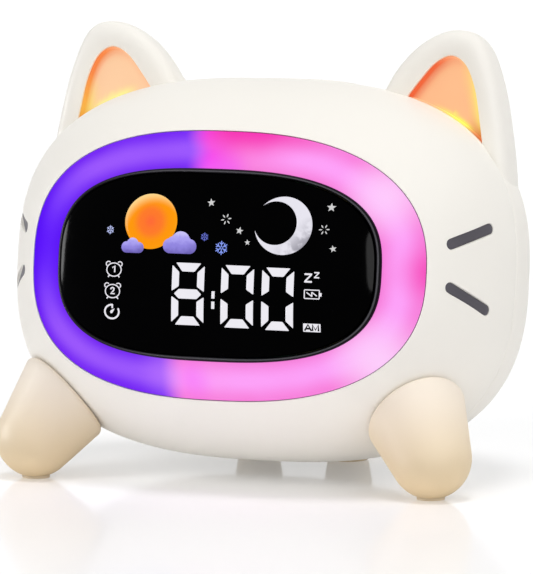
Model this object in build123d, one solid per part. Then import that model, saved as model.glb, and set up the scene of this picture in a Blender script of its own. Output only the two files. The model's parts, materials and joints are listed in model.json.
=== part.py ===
from build123d import *
from functools import lru_cache
import math
import os

# A cat-shaped alarm clock with a night light. Every size is in millimetres.
# Most of the clock is described in the head's own frame: its origin is the
# middle of the head, +X is to the right seen from the front, +Y goes to the
# back and +Z up. The finished head leans back by HEAD_TILT and is lifted onto
# its feet. The clock's frame has its origin on the table under its middle.

# Head
HALF_WIDTH = 75.0
HALF_HEIGHT = 55.5
FRONT_DEPTH = 57.0
REAR_DEPTH = 45.5
OUTLINE_POWER = 2.65
FRONT_POWER = 2.35
REAR_POWER = 2.45
BACK_Y = 42.0
SEAM_Y = -4.0
WALL = 2.4
HEAD_TILT = 7.7
HEAD_Y = 6.2
HEAD_Z = 58.7

# Depths that clear the head, for cuts that go right through a wall
CLEAR_FRONT_Y = -70.0
OPENING_BACK_Y = -20.0
BACK_INNER_Y = BACK_Y - WALL
CLEAR_BACK_Y = BACK_Y + 8.0

# Fits
FIT_GAP = 0.15
SLIDE_GAP = 0.05
OVERCUT = 1.0

# Joint between the two shells
LIP_DEPTH = 2.4
LIP_CLEARANCE = 0.2
LIP_GAP = 0.1

# Light ring and display in the front of the head
RING_HALF = (59.3, 38.1)
RING_POWER = 2.5
RING_THICK = 2.5
RING_PROUD = 0.3
WINDOW_HALF = (48.6, 27.1)
WINDOW_POWER = 2.8
WINDOW_THICK = 2.5
WINDOW_SAG = 32.8
WINDOW_SAG_POWER = 2.95
BEZEL_WIDTH = 1.4
BEZEL_PROUD = 0.7
COLLAR_THICK = 2.0
COLLAR_BACK_Y = -31.0

# Boards and the small screws that hold them
BOARD_THICK = 1.6
SMALL_SCREW_RADIUS = 1.0
SMALL_SCREW_LENGTH = 6.0
SCREW_CLEARANCE_RADIUS = 1.2
POST_RADIUS = 2.4
LED_TALL = 1.6

# Light box behind the ring
TRAY_THICK = 1.9
TRAY_LIP_THICK = 1.4
TRAY_LUG = (30.0, 39.6)
TRAY_LUG_RADIUS = 3.5
TRAY_BOSS_RADIUS = 2.7
TRAY_FRONT_Y = COLLAR_BACK_Y - TRAY_THICK
RING_BOARD_Y = TRAY_FRONT_Y - BOARD_THICK
RING_LED_COUNT = 24
RING_LED_SIZE = 3.2

# Display block
BLOCK_FRONT_Y = -44.5
BLOCK_THICK = 8.0
BLOCK_BACK_Y = BLOCK_FRONT_Y + BLOCK_THICK
DIGIT_WIDTH = 9.8
DIGIT_HEIGHT = 17.6
DIGIT_MIDDLE_Z = -8.6
DIGIT_MIDDLES_X = (-17.6, -5.2, 9.6, 21.5)
SEGMENT_WIDTH = 2.2
SEGMENT_GAP = 0.35
COLON_X = 2.4
COLON_Z = -9.9
COLON_DOT = (1.0, 2.0)
COLON_REACH = 1.5
DIFFUSER_DEPTH = 2.0

# Lit icons: x, z and radius of the round ones, x, z and half length of the clouds
SUN = (-17.4, 13.1, 5.6)
MOON = (22.6, 12.0, 8.0)
MOON_CUT = (19.8, 12.6, 6.4)
CLOUDS = ((-22.6, 3.4, 3.4), (-8.2, 4.3, 5.0))
CLOUD_HEIGHT = 2.4

# Ears, given for the ear on +X; the other one is its mirror image
EAR_OUTLINE = ((30.5, 50.0), (35.6, 59.6), (43.0, 67.2), (52.0, 71.0), (60.2, 68.6),
               (65.3, 57.0), (68.6, 41.5), (69.9, 32.0), (70.5, 24.0), (70.8, 17.0))
EAR_OUTLINE_CLOSE = (50.0, 20.0)
EAR_OPENING = ((36.6, 47.6), (43.0, 56.4), (47.6, 61.6), (52.4, 63.6),
               (56.8, 60.8), (59.8, 54.0), (61.6, 45.0), (63.6, 33.0))
EAR_OPENING_CLOSE = (50.0, 33.0)
EAR_ANCHOR = (54.0, 38.0)
EAR_FRONT_Y = -3.8
EAR_SECTIONS = ((-3.8, 0.955), (-2.6, 0.985), (0.0, 1.0), (6.0, 0.985), (12.0, 0.92),
                (16.0, 0.81), (18.6, 0.66), (20.0, 0.46))
EAR_LENS_Y = 0.7
EAR_LENS_THICK = 1.6
EAR_LENS_FIT = 0.985
EAR_CHAMBER_SCALE = 0.88
EAR_CHAMBER_Y = 10.5
EAR_LAMP_X = 50.0
EAR_LAMP_Y = 6.0
EAR_LAMP_LEAN = 32.0
EAR_TUBE_RADIUS = 5.6
EAR_TUBE_LENGTH = 4.5
EAR_LIGHT_RADIUS = 4.0
EAR_BOARD_THICK = 1.2

# Whiskers, on the +X cheek: the two cap centres of each, x and z
WHISKER_WIDTH = 3.0
WHISKER_DEPTH = 0.9
WHISKER_SUNK = 0.2
WHISKERS = (((64.6, 8.9), (71.4, 13.9)), ((64.8, -3.4), (71.6, -9.2)))

# Front feet, measured from the middle of the head but square to the table
FOOT_TIP_RADIUS = 11.6
FOOT_TIP = (60.1, -36.4, FOOT_TIP_RADIUS - HEAD_Z)
FOOT_ROOT = (50.0, -27.1, -30.5)
FOOT_ROOT_RADIUS = 15.9
FOOT_SCREW_RADIUS = 1.5
FOOT_SCREW_REACH = 11.0
FOOT_SCREW_HEAD = 1.8
FOOT_BOSS_RADIUS = 3.6
FOOT_BOSS_HEIGHT = 2.5
PAD_THICK = 0.8
PAD_RADIUS = 4.0

# Rear rubber feet, in the clock's frame
REAR_FOOT_X = 14.0
REAR_FOOT_Y = 32.0
REAR_FOOT_RADIUS = 6.0
REAR_FOOT_TOP_RADIUS = 9.5
REAR_FOOT_TOP_Z = 20.0
REAR_FOOT_EDGE = 1.0
REAR_PLUG_RADIUS = 2.4
REAR_PLUG_BOTTOM_Z = 4.0
REAR_PLUG_TOP_Z = 19.0

# Snooze key on top
KEY_HALF = (22.0, 8.0)
KEY_POWER = 3.0
KEY_Y = 14.0
KEY_PROUD = 0.8
KEY_GAP = 0.35
KEY_FLANGE = 2.0
KEY_FLANGE_THICK = 1.4
KEY_FLANGE_GAP = 0.3
KEY_STEM_RADIUS = 2.5
KEY_STEM_TOP_Z = 51.0
ROOF_LOW_Z = 40.0
ROOF_HIGH_Z = 70.0
TOP_BOARD_Z = 40.0
TOP_BOARD_SIZE = (60.0, 12.0)
TOP_POST_X = 27.0

# Buttons on the back
BUTTON_NAMES = ("mode", "up", "light", "down", "alarm")
BUTTON_PITCH = 11.0
BUTTON_Z = 17.0
BUTTON_RADIUS = 3.5
BUTTON_PROUD = 1.3
BUTTON_EDGE = 0.6
BUTTON_GAP = 0.3
BUTTON_FLANGE = 1.0
BUTTON_FLANGE_THICK = 1.2

# Tact switches
TACT_SIZE = 6.0
TACT_HEIGHT = 3.4
PLUNGER_RADIUS = 1.7
PLUNGER_PROUD = 1.7
PLUNGER_LENGTH = 2.6
PLUNGER_ROOM = 1.2

# Board that carries the buttons' switches, the socket and the power switch
KEY_BOARD_Y = 33.0
KEY_BOARD_SIZE = (68.0, 46.0)
KEY_BOARD_Z = -1.0
KEY_POSTS = ((30.5, 18.5), (-30.5, 18.5), (30.5, -20.5), (-30.5, -20.5))
KEY_SCREW_LENGTH = 5.5
SOCKET_X = -26.0
SOCKET_Z = -10.0
SOCKET_SIZE = (9.0, 3.3)
SOCKET_SHEET = 0.35
SOCKET_FLOOR = 1.5
SOCKET_SET_BACK = 0.4
TONGUE_SIZE = (6.6, 0.7)
TONGUE_SET_BACK = 1.2
SWITCH_X = 26.0
SWITCH_SIZE = (13.0, 6.6)
SWITCH_FLOOR = 2.0
KNOB_SIZE = (4.2, 3.0)
KNOB_GAP = 0.25
KNOB_TRAVEL = 3.0
KNOB_PROUD = 1.2
KNOB_EDGE = 0.4

# Speaker
SPEAKER_Z = -7.0
SPEAKER_RADIUS = 14.0
SPEAKER_RIM = 1.4
SPEAKER_LUG_RING = 16.4
SPEAKER_LUG_RADIUS = 2.8
SPEAKER_FLANGE = 1.2
SPEAKER_SCREW_RADIUS = 0.9
SPEAKER_SCREW_LENGTH = 2.6
BASKET_FRONT_Y = 31.0
BASKET_SHEET = 1.2
CONE_FRONT_Y = BASKET_FRONT_Y + 2.4
CONE_PAPER = 0.6
CONE_NECK_RADIUS = 4.0
MAGNET_RADIUS = 9.5
MAGNET_FRONT_Y = 25.0
GRILLE_HOLE_RADIUS = 0.9
GRILLE_RINGS = ((0.0, 1), (3.6, 6), (7.2, 12), (10.8, 18))

# Battery
CELL_RADIUS = 9.2
CELL_LENGTH = 65.0
CELL_EDGE = 0.8
CELL_Y = 12.0
CELL_Z = -30.0
CELL_GAP = 0.3
CRADLE_WALL = 2.0
CRADLE_END = 2.5
CRADLE_HEIGHT = 11.0
CRADLE_RIB_X = 24.0
CRADLE_RIB_SIZE = (3.0, 16.0, 24.0)

# Main board; chips are x, z, width, height and how tall they stand
MAIN_BOARD_Y = -22.0
MAIN_BOARD_SIZE = (112.0, 40.0)
MAIN_BOARD_BACK_Y = MAIN_BOARD_Y + BOARD_THICK
MAIN_POSTS = (51.0, 14.0)
CHIPS = ((-20.0, 6.0, 10.0, 10.0, 1.4), (-34.0, -8.0, 7.0, 5.0, 1.6), (-4.0, -10.0, 5.0, 4.0, 1.2),
         (8.0, 12.0, 4.0, 6.0, 1.2), (-42.0, 10.0, 5.0, 5.0, 1.8))
COIN_X = 30.0
COIN_RADIUS = 10.0
COIN_THICK = 3.2
COIN_LIFT = 0.6
CLIP_WALL = 1.4
CLIP_HEIGHT = 2.6
PLUGS = ((-12.0, -14.0), (0.0, -14.0), (12.0, -14.0))
PLUG_SIZE = (7.0, 4.0)
PLUG_TALL = 5.0
PLUG_FACE_Y = MAIN_BOARD_BACK_Y + PLUG_TALL
LEAD_RADIUS = 0.8

# Screws that close the case
CASE_SCREWS = (60.0, 17.0)
CASE_POST_RADIUS = 3.2
CASE_POST_END_Y = 6.0
CASE_TUBE_RADIUS = 4.2
CASE_SEAT_Y = CASE_POST_END_Y + 6.0
CASE_BORE_END_Y = -16.0
CASE_BORE_RADIUS = 1.45
CASE_SCREW_RADIUS = 1.35
CASE_SCREW_LENGTH = 18.0
CASE_HEAD_ROOM_RADIUS = 3.0


# ---- outlines and the head's surface

def superellipse(half_x, half_y, power, count=28):
    """A closed face with the outline |x/a|^n + |y/b|^n = 1."""
    points = [superellipse_point(half_x, half_y, power, step / count) for step in range(count)]
    return make_face(Wire([Spline(points, periodic=True)]))


def superellipse_point(half_x, half_y, power, part):
    turn = 2 * math.pi * part
    c, s = math.cos(turn), math.sin(turn)
    x = half_x * math.copysign(abs(c) ** (2 / power), c)
    y = half_y * math.copysign(abs(s) ** (2 / power), s)
    return x, y


def facing_front(y):
    """A plane across the head: its x is the head's X, its y the head's Z."""
    return Plane(origin=(0, y, 0), x_dir=(1, 0, 0), z_dir=(0, -1, 0))


def across(sketch, y_back, y_front):
    """A flat outline run straight through the head between two depths."""
    return extrude(facing_front(y_back) * sketch, amount=y_back - y_front)


def prism(halves, power, y_back, y_front, grow=0.0):
    return across(superellipse(halves[0] + grow, halves[1] + grow, power), y_back, y_front)


def share_at(depth, power, y):
    """How much of its full width and height the head has at depth y."""
    return (1 - (abs(y) / depth) ** power) ** (1 / power)


def head_section(inset, y):
    if y < 0:
        share = share_at(FRONT_DEPTH - inset, FRONT_POWER, y)
    else:
        share = share_at(REAR_DEPTH - inset, REAR_POWER, y)
    half_x = (HALF_WIDTH - inset) * share
    half_z = (HALF_HEIGHT - inset) * share
    return facing_front(y) * superellipse(half_x, half_z, OUTLINE_POWER)


@lru_cache(maxsize=None)
def head_solid(inset):
    """The head's form, drawn in by inset all over. Its back is cut flat."""
    front = FRONT_DEPTH - inset
    depths = []
    for share in (0.40, 0.50, 0.60, 0.70, 0.79, 0.87, 0.93, 0.975):
        depths.append(-front * (1 - share ** FRONT_POWER) ** (1 / FRONT_POWER))
    depths.append(0.0)
    back = BACK_Y - inset
    for part in (0.22, 0.42, 0.58, 0.71, 0.82, 0.91, 1.0):
        depths.append(back * part)
    return loft([head_section(inset, y) for y in depths])


def head_share(x, z):
    power = OUTLINE_POWER
    return (abs(x / HALF_WIDTH) ** power + abs(z / HALF_HEIGHT) ** power) ** (1 / power)


def front_surface_y(x, z):
    return -FRONT_DEPTH * (1 - head_share(x, z) ** FRONT_POWER) ** (1 / FRONT_POWER)


def outward_at(x, z):
    """The direction that the head's front faces at (x, z)."""
    step = 0.5
    slope_x = (front_surface_y(x + step, z) - front_surface_y(x - step, z)) / (2 * step)
    slope_z = (front_surface_y(x, z + step) - front_surface_y(x, z - step)) / (2 * step)
    return Vector(slope_x, -1, slope_z)


def window_y(x, z):
    """The window's own mild dome, just proud of the head at its edge."""
    return -FRONT_DEPTH + WINDOW_SAG * head_share(x, z) ** WINDOW_SAG_POWER


def slab(y_low, y_high):
    """Everything between two depths of the head."""
    reach = 3 * HALF_WIDTH
    middle = (y_low + y_high) / 2
    return Pos(0, middle, 0) * Box(reach, y_high - y_low, reach)


def cylinder_y(x, z, radius, y_low, y_high):
    return across(Pos(x, z) * Circle(radius), y_high, y_low)


def box_y(x, z, width, height, y_low, y_high):
    return across(Pos(x, z) * Rectangle(width, height), y_high, y_low)


def rounded_slot(x, z, width, height, y_low, y_high):
    outline = Pos(x, z) * RectangleRounded(width, height, height * 0.45)
    return across(outline, y_high, y_low)


def corners(place):
    x, z = place
    return [(x, z), (-x, z), (x, -z), (-x, -z)]


def both_sides(shape):
    return [shape, mirror(shape, about=Plane.YZ)]


def separate(shapes):
    """Several solids that are never fused, as one node."""
    solids = []
    for shape in shapes:
        solids.extend(shape.solids())
    return Compound(solids)


def screw_y(x, z, seat_y, radius, length, head_behind=True):
    """A pan-head screw along the head's depth, its head on seat_y."""
    sign = 1 if head_behind else -1
    head_end = seat_y + sign * 1.4 * radius
    tip = seat_y - sign * length
    head = cylinder_y(x, z, 2 * radius, min(seat_y, head_end), max(seat_y, head_end))
    shank = cylinder_y(x, z, radius, min(seat_y, tip), max(seat_y, tip))
    return head + shank


def in_place(shape):
    """From the head's frame to the clock's frame."""
    return Location((0, HEAD_Y, HEAD_Z), (-HEAD_TILT, 0, 0)) * shape


@lru_cache(maxsize=None)
def placed_head(inset):
    return in_place(head_solid(inset))


# ---- ears

def ear_face(points, close, scale=1.0):
    x_mid, z_mid = EAR_ANCHOR
    moved = [(x_mid + (x - x_mid) * scale, z_mid + (z - z_mid) * scale) for x, z in points]
    rim = Spline(moved)
    foot = Polyline([moved[-1], close, moved[0]])
    return make_face([rim, *foot.edges()])


def ear_form():
    faces = []
    for y, scale in EAR_SECTIONS:
        faces.append(facing_front(y) * ear_face(EAR_OUTLINE, EAR_OUTLINE_CLOSE, scale))
    return loft(faces)


def ear_pocket():
    """The lens sits in the wide front part, on the step of the narrow rear part."""
    rest_y = EAR_LENS_Y + EAR_LENS_THICK
    wide = across(ear_face(EAR_OPENING, EAR_OPENING_CLOSE), rest_y, EAR_FRONT_Y - OVERCUT)
    inner = ear_face(EAR_OPENING, EAR_OPENING_CLOSE, EAR_CHAMBER_SCALE)
    narrow = across(inner, EAR_CHAMBER_Y, rest_y - OVERCUT)
    return wide + narrow - head_solid(0)


def ear_hood():
    return ear_form() - head_solid(WALL / 2) - ear_pocket()


def ear_lens():
    outline = ear_face(EAR_OPENING, EAR_OPENING_CLOSE, EAR_LENS_FIT)
    plate = across(outline, EAR_LENS_Y + EAR_LENS_THICK, EAR_LENS_Y)
    return plate - head_solid(-FIT_GAP)


def ear_lamp_axis():
    """A plane on the head's inner wall under the ear, its z pointing out into the ear."""
    inner_x, inner_z = HALF_WIDTH - WALL, HALF_HEIGHT - WALL
    share = share_at(REAR_DEPTH - WALL, REAR_POWER, EAR_LAMP_Y)
    reach = (1 - (EAR_LAMP_X / (inner_x * share)) ** OUTLINE_POWER) ** (1 / OUTLINE_POWER)
    lean = math.radians(EAR_LAMP_LEAN)
    out = (math.sin(lean), 0, math.cos(lean))
    return Plane(origin=(EAR_LAMP_X, EAR_LAMP_Y, inner_z * share * reach), x_dir=(0, 1, 0), z_dir=out)


def ear_tube_end():
    return ear_lamp_axis().offset(-EAR_TUBE_LENGTH)


def ear_lamp_tube():
    """A short tube under the ear: light goes up it, and the ear's board sits on its end."""
    tube = extrude(ear_tube_end() * Circle(EAR_TUBE_RADIUS), amount=EAR_TUBE_LENGTH + WALL + OVERCUT)
    return tube & head_solid(WALL / 2)


def ear_lamp_hole():
    start = ear_tube_end().offset(-OVERCUT)
    return extrude(start * Circle(EAR_LIGHT_RADIUS), amount=2 * (EAR_TUBE_LENGTH + WALL))


def ear_board():
    return extrude(ear_tube_end() * Circle(EAR_TUBE_RADIUS), amount=-EAR_BOARD_THICK)


def ear_led():
    return extrude(ear_tube_end() * Rectangle(RING_LED_SIZE, RING_LED_SIZE), amount=LED_TALL)


# ---- feet

def in_clock_frame(point):
    return (point[0], point[1] + HEAD_Y, point[2] + HEAD_Z)


def foot_axis():
    """A plane at the foot's tip centre whose z runs up into the head, and the foot's length."""
    tip = Vector(*in_clock_frame(FOOT_TIP))
    root = Vector(*in_clock_frame(FOOT_ROOT))
    return Plane(origin=tip, z_dir=root - tip), (root - tip).length


def foot_form():
    """A cone with a round end, in the clock's frame."""
    plane, length = foot_axis()
    slope = math.asin((FOOT_ROOT_RADIUS - FOOT_TIP_RADIUS) / length)
    c, s = math.cos(slope), math.sin(slope)
    touch_tip = (FOOT_TIP_RADIUS * c, -FOOT_TIP_RADIUS * s)
    touch_root = (FOOT_ROOT_RADIUS * c, length - FOOT_ROOT_RADIUS * s)
    bottom = (0, -FOOT_TIP_RADIUS)
    middle_turn = -(math.pi / 2 + slope) / 2
    middle = (FOOT_TIP_RADIUS * math.cos(middle_turn), FOOT_TIP_RADIUS * math.sin(middle_turn))
    top = (0, touch_root[1])
    edges = [ThreePointArc(bottom, middle, touch_tip), Line(touch_tip, touch_root),
             Line(touch_root, top), Line(top, bottom)]
    profile = Plane.XZ * make_face(edges)
    return plane.location * revolve(profile, Axis.Z)


def inside_head(point, inset):
    """Whether a point of the clock's frame is inside the front of the head drawn in by inset."""
    tilt = math.radians(HEAD_TILT)
    y, z = point.Y - HEAD_Y, point.Z - HEAD_Z
    head_y = y * math.cos(tilt) - z * math.sin(tilt)
    head_z = z * math.cos(tilt) + y * math.sin(tilt)
    if abs(head_y) >= FRONT_DEPTH - inset:
        return False
    share = share_at(FRONT_DEPTH - inset, FRONT_POWER, head_y)
    across_x = abs(point.X / (HALF_WIDTH - inset)) ** OUTLINE_POWER
    across_z = abs(head_z / (HALF_HEIGHT - inset)) ** OUTLINE_POWER
    return across_x + across_z < share ** OUTLINE_POWER


@lru_cache(maxsize=None)
def foot_screw_seat():
    """The foot's axis plane moved to the face of its boss inside the head."""
    plane, length = foot_axis()
    step = 0.25
    along = 0.0
    while not inside_head(plane.origin + plane.z_dir * along, WALL):
        along += step
    return plane.offset(along + FOOT_BOSS_HEIGHT)


def foot_boss():
    """A flat seat for the foot's screw on the inner wall, in the clock's frame."""
    boss = extrude(foot_screw_seat() * Circle(FOOT_BOSS_RADIUS), amount=-FOOT_SCREW_REACH)
    return boss & placed_head(WALL / 2)


def foot_screw_hole(radius):
    start = foot_screw_seat().offset(OVERCUT)
    return extrude(start * Circle(radius), amount=-(FOOT_BOSS_HEIGHT + FOOT_SCREW_REACH + 3 * OVERCUT))


def foot_right():
    foot = foot_form() - placed_head(-FIT_GAP / 2)
    foot = foot - foot_screw_hole(FOOT_SCREW_RADIUS + SLIDE_GAP)
    reach = 4 * HALF_WIDTH
    table = Pos(0, 0, PAD_THICK - reach / 2) * Box(reach, reach, reach)
    return foot - table


def foot_pad():
    tip = in_clock_frame(FOOT_TIP)
    return Pos(tip[0], tip[1], PAD_THICK / 2) * Cylinder(PAD_RADIUS, PAD_THICK)


def foot_screw():
    seat = foot_screw_seat()
    head = extrude(seat * Circle(2 * FOOT_SCREW_RADIUS), amount=FOOT_SCREW_HEAD)
    shank = extrude(seat * Circle(FOOT_SCREW_RADIUS), amount=-(FOOT_BOSS_HEIGHT + FOOT_SCREW_REACH))
    return head + shank


def rear_foot():
    """A tapered rubber foot that fits the head's underside, with a plug pressed into the shell."""
    cone = Cone(REAR_FOOT_RADIUS, REAR_FOOT_TOP_RADIUS, REAR_FOOT_TOP_Z)
    foot = Pos(REAR_FOOT_X, REAR_FOOT_Y, REAR_FOOT_TOP_Z / 2) * cone
    foot = foot - placed_head(-FIT_GAP / 2)
    lowest = foot.edges().filter_by(GeomType.CIRCLE).sort_by(Axis.Z)[0]
    return fillet(lowest, REAR_FOOT_EDGE) + rear_plug(REAR_PLUG_RADIUS, REAR_PLUG_TOP_Z)


def rear_plug(radius, top_z):
    height = top_z - REAR_PLUG_BOTTOM_Z
    return Pos(REAR_FOOT_X, REAR_FOOT_Y, top_z - height / 2) * Cylinder(radius, height)


# ---- whiskers

def whisker_plane(ends):
    """A plane on the cheek through the middle of a whisker, facing out, and its length."""
    start, end = [Vector(x, front_surface_y(x, z), z) for x, z in ends]
    middle_x = (ends[0][0] + ends[1][0]) / 2
    middle_z = (ends[0][1] + ends[1][1]) / 2
    middle = Vector(middle_x, front_surface_y(middle_x, middle_z), middle_z)
    along = end - start
    return Plane(origin=middle, x_dir=along, z_dir=outward_at(middle_x, middle_z)), along.length


def whisker_bar(ends, grow=0.0):
    plane, length = whisker_plane(ends)
    bar = SlotCenterToCenter(length, WHISKER_WIDTH + 2 * grow)
    return extrude(plane * bar, amount=2 * WHISKER_WIDTH, both=True)


def whisker_groove(ends):
    return whisker_bar(ends, FIT_GAP / 3) - head_solid(WHISKER_DEPTH)


def whisker(ends):
    return (whisker_bar(ends) & head_solid(WHISKER_SUNK)) - head_solid(WHISKER_DEPTH)


def whiskers():
    return separate([whisker(ends) for ends in WHISKERS])


# ---- casing

def shell():
    return head_solid(0) - head_solid(WALL)


def lip(outer_inset, inner_inset, y_low, y_high):
    band = head_solid(outer_inset) - head_solid(inner_inset)
    return band & slab(y_low, y_high)


def collar():
    """The wall round the ring's opening. The ring's tray drops into it from inside."""
    outer = prism(RING_HALF, RING_POWER, COLLAR_BACK_Y, CLEAR_FRONT_Y, FIT_GAP + COLLAR_THICK)
    inner = prism(RING_HALF, RING_POWER, OPENING_BACK_Y, CLEAR_FRONT_Y - OVERCUT, FIT_GAP)
    return (outer - inner) & head_solid(SLIDE_GAP / 2)


def front_posts():
    """The screw posts of the case and the bosses of the ring's tray."""
    posts = []
    for x, z in corners(CASE_SCREWS):
        posts.append(cylinder_y(x, z, CASE_POST_RADIUS, CLEAR_FRONT_Y, CASE_POST_END_Y))
    for x, z in corners(TRAY_LUG):
        posts.append(cylinder_y(x, z, TRAY_BOSS_RADIUS, CLEAR_FRONT_Y, COLLAR_BACK_Y))
    return [post & head_solid(WALL / 2) for post in posts]


def front_bores():
    bores = []
    for x, z in corners(CASE_SCREWS):
        bores.append(cylinder_y(x, z, CASE_BORE_RADIUS, CASE_BORE_END_Y, CASE_POST_END_Y + OVERCUT))
    for x, z in corners(TRAY_LUG):
        bore_end = COLLAR_BACK_Y - SMALL_SCREW_LENGTH
        radius = SMALL_SCREW_RADIUS + SLIDE_GAP
        bores.append(cylinder_y(x, z, radius, bore_end, COLLAR_BACK_Y + OVERCUT))
    return bores


def front_shell():
    body = shell() & slab(CLEAR_FRONT_Y, SEAM_Y)
    body = body - prism(RING_HALF, RING_POWER, OPENING_BACK_Y, CLEAR_FRONT_Y, FIT_GAP)
    body = body + collar()
    body = body - lip(WALL / 2, WALL + OVERCUT, SEAM_Y - LIP_DEPTH - LIP_CLEARANCE, SEAM_Y + OVERCUT)
    for post in front_posts():
        body = body + post
    for bore in front_bores():
        body = body - bore
    for ends in WHISKERS:
        for groove in both_sides(whisker_groove(ends)):
            body = body - groove
    body = in_place(body)
    for boss in both_sides(foot_boss()):
        body = body + boss
    for hole in both_sides(foot_screw_hole(FOOT_SCREW_RADIUS + SLIDE_GAP)):
        body = body - hole
    return body


def grille_holes():
    holes = []
    for radius, count in GRILLE_RINGS:
        for step in range(count):
            turn = 2 * math.pi * step / count
            spot = (radius * math.cos(turn), SPEAKER_Z + radius * math.sin(turn))
            holes.append(Pos(*spot) * Circle(GRILLE_HOLE_RADIUS))
    return across(Sketch() + holes, CLEAR_BACK_Y, BACK_INNER_Y - OVERCUT)


def back_openings():
    """Everything that is cut through the flat back: grille, buttons, socket and switch slot."""
    low, high = BACK_INNER_Y - OVERCUT, CLEAR_BACK_Y
    openings = [grille_holes()]
    for x in button_places():
        openings.append(cylinder_y(x, BUTTON_Z, BUTTON_RADIUS + BUTTON_GAP, low, high))
    socket_width, socket_height = SOCKET_SIZE
    openings.append(rounded_slot(SOCKET_X, SOCKET_Z, socket_width + SOCKET_SET_BACK,
                                 socket_height + SOCKET_SET_BACK, low, high))
    slot_width, slot_height = knob_slot_size()
    openings.append(box_y(SWITCH_X, SOCKET_Z, slot_width, slot_height, low, high))
    for x, z in speaker_lugs():
        openings.append(cylinder_y(x, z, SPEAKER_SCREW_RADIUS + SLIDE_GAP, low, BACK_Y - WALL / 3))
    return openings


def rear_posts():
    """Screw tubes of the case, posts of the key board and the tubes under the ears."""
    posts = ear_tubes()
    for x, z in corners(CASE_SCREWS):
        posts.append(cylinder_y(x, z, CASE_TUBE_RADIUS, CASE_POST_END_Y, CLEAR_BACK_Y) & head_solid(WALL / 2))
    for x, z in KEY_POSTS:
        posts.append(cylinder_y(x, z, POST_RADIUS, KEY_BOARD_Y, BACK_Y) & head_solid(WALL / 2))
    for x in (-TOP_POST_X, TOP_POST_X):
        posts.append(top_post(x))
    return posts


def ear_tubes():
    return both_sides(ear_lamp_tube())


def rear_bores():
    bores = both_sides(ear_lamp_hole())
    for x, z in corners(CASE_SCREWS):
        bores.append(cylinder_y(x, z, CASE_BORE_RADIUS + FIT_GAP, CASE_POST_END_Y - OVERCUT, CLEAR_BACK_Y))
        bores.append(cylinder_y(x, z, CASE_HEAD_ROOM_RADIUS, CASE_SEAT_Y, CLEAR_BACK_Y))
    radius = SMALL_SCREW_RADIUS + SLIDE_GAP
    bore_end = KEY_BOARD_Y + KEY_SCREW_LENGTH - OVERCUT
    for x, z in KEY_POSTS:
        bores.append(cylinder_y(x, z, radius, KEY_BOARD_Y - OVERCUT, bore_end))
    return bores


def rear_shell():
    body = shell() & slab(SEAM_Y, CLEAR_BACK_Y)
    body = body + lip(WALL / 2 + LIP_GAP, WALL, SEAM_Y - LIP_DEPTH, SEAM_Y + FIT_GAP)
    for hood in both_sides(ear_hood()):
        body = body + hood
    for post in rear_posts():
        body = body + post
    for cut in rear_bores() + back_openings() + [key_opening()]:
        body = body - cut
    body = in_place(body)
    for plug in both_sides(rear_plug(REAR_PLUG_RADIUS + SLIDE_GAP, REAR_PLUG_TOP_Z + REAR_PLUG_BOTTOM_Z)):
        body = body - plug
    return body


# ---- light ring, bezel and window

def light_ring():
    outer = prism(RING_HALF, RING_POWER, OPENING_BACK_Y, CLEAR_FRONT_Y)
    inner = prism(WINDOW_HALF, WINDOW_POWER, OPENING_BACK_Y + OVERCUT, CLEAR_FRONT_Y - OVERCUT, FIT_GAP)
    skin = head_solid(-RING_PROUD) - head_solid(RING_THICK)
    return (outer - inner) & skin


def window_bezel():
    back = BLOCK_BACK_Y + BOARD_THICK + OVERCUT
    outer = prism(WINDOW_HALF, WINDOW_POWER, back, CLEAR_FRONT_Y)
    inner = prism(WINDOW_HALF, WINDOW_POWER, OPENING_BACK_Y, CLEAR_FRONT_Y - OVERCUT, -BEZEL_WIDTH)
    return (outer - inner) & head_solid(-BEZEL_PROUD)


def dome_face(half_x, half_z, count=13):
    """The window's dome, through a grid of points on it."""
    rows = []
    for i in range(count):
        x = half_x * (2 * i / (count - 1) - 1)
        row = []
        for j in range(count):
            z = half_z * (2 * j / (count - 1) - 1)
            row.append(Vector(x, window_y(x, z), z))
        rows.append(row)
    return Face.make_surface_from_array_of_points(rows)


def display_window():
    margin = 3.0
    dome = dome_face(WINDOW_HALF[0] + margin, WINDOW_HALF[1] + margin)
    plate = extrude(dome, amount=WINDOW_THICK, dir=(0, 1, 0))
    grow = -BEZEL_WIDTH - FIT_GAP / 3
    return plate & prism(WINDOW_HALF, WINDOW_POWER, OPENING_BACK_Y, CLEAR_FRONT_Y, grow)


# ---- display block

def segment_bar(length):
    """One bar of a digit: a strip with pointed ends, along x."""
    half, wide = length / 2, SEGMENT_WIDTH / 2
    points = [(-half, 0), (-half + wide, wide), (half - wide, wide),
              (half, 0), (half - wide, -wide), (-half + wide, -wide)]
    return make_face(Polyline(points, close=True))


def digit_bars(x_mid):
    """The seven bars of one digit."""
    high = (DIGIT_HEIGHT - SEGMENT_WIDTH) / 2
    wide = DIGIT_WIDTH - SEGMENT_WIDTH
    flat = segment_bar(wide - 2 * SEGMENT_GAP)
    upright_bar = Rot(0, 0, 90) * segment_bar(high - 2 * SEGMENT_GAP)
    bars = [Pos(x_mid, DIGIT_MIDDLE_Z + step * high) * flat for step in (-1, 0, 1)]
    for side in (-1, 1):
        for half in (-1, 1):
            bars.append(Pos(x_mid + side * wide / 2, DIGIT_MIDDLE_Z + half * high / 2) * upright_bar)
    return bars


def segment_faces():
    faces = []
    for x_mid in DIGIT_MIDDLES_X:
        faces.extend(digit_bars(x_mid))
    for lift in (COLON_REACH, -COLON_REACH):
        faces.append(Pos(COLON_X, COLON_Z + lift) * Rectangle(*COLON_DOT))
    return faces


def round_face(place):
    x, z, radius = place
    return Pos(x, z) * Circle(radius)


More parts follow.
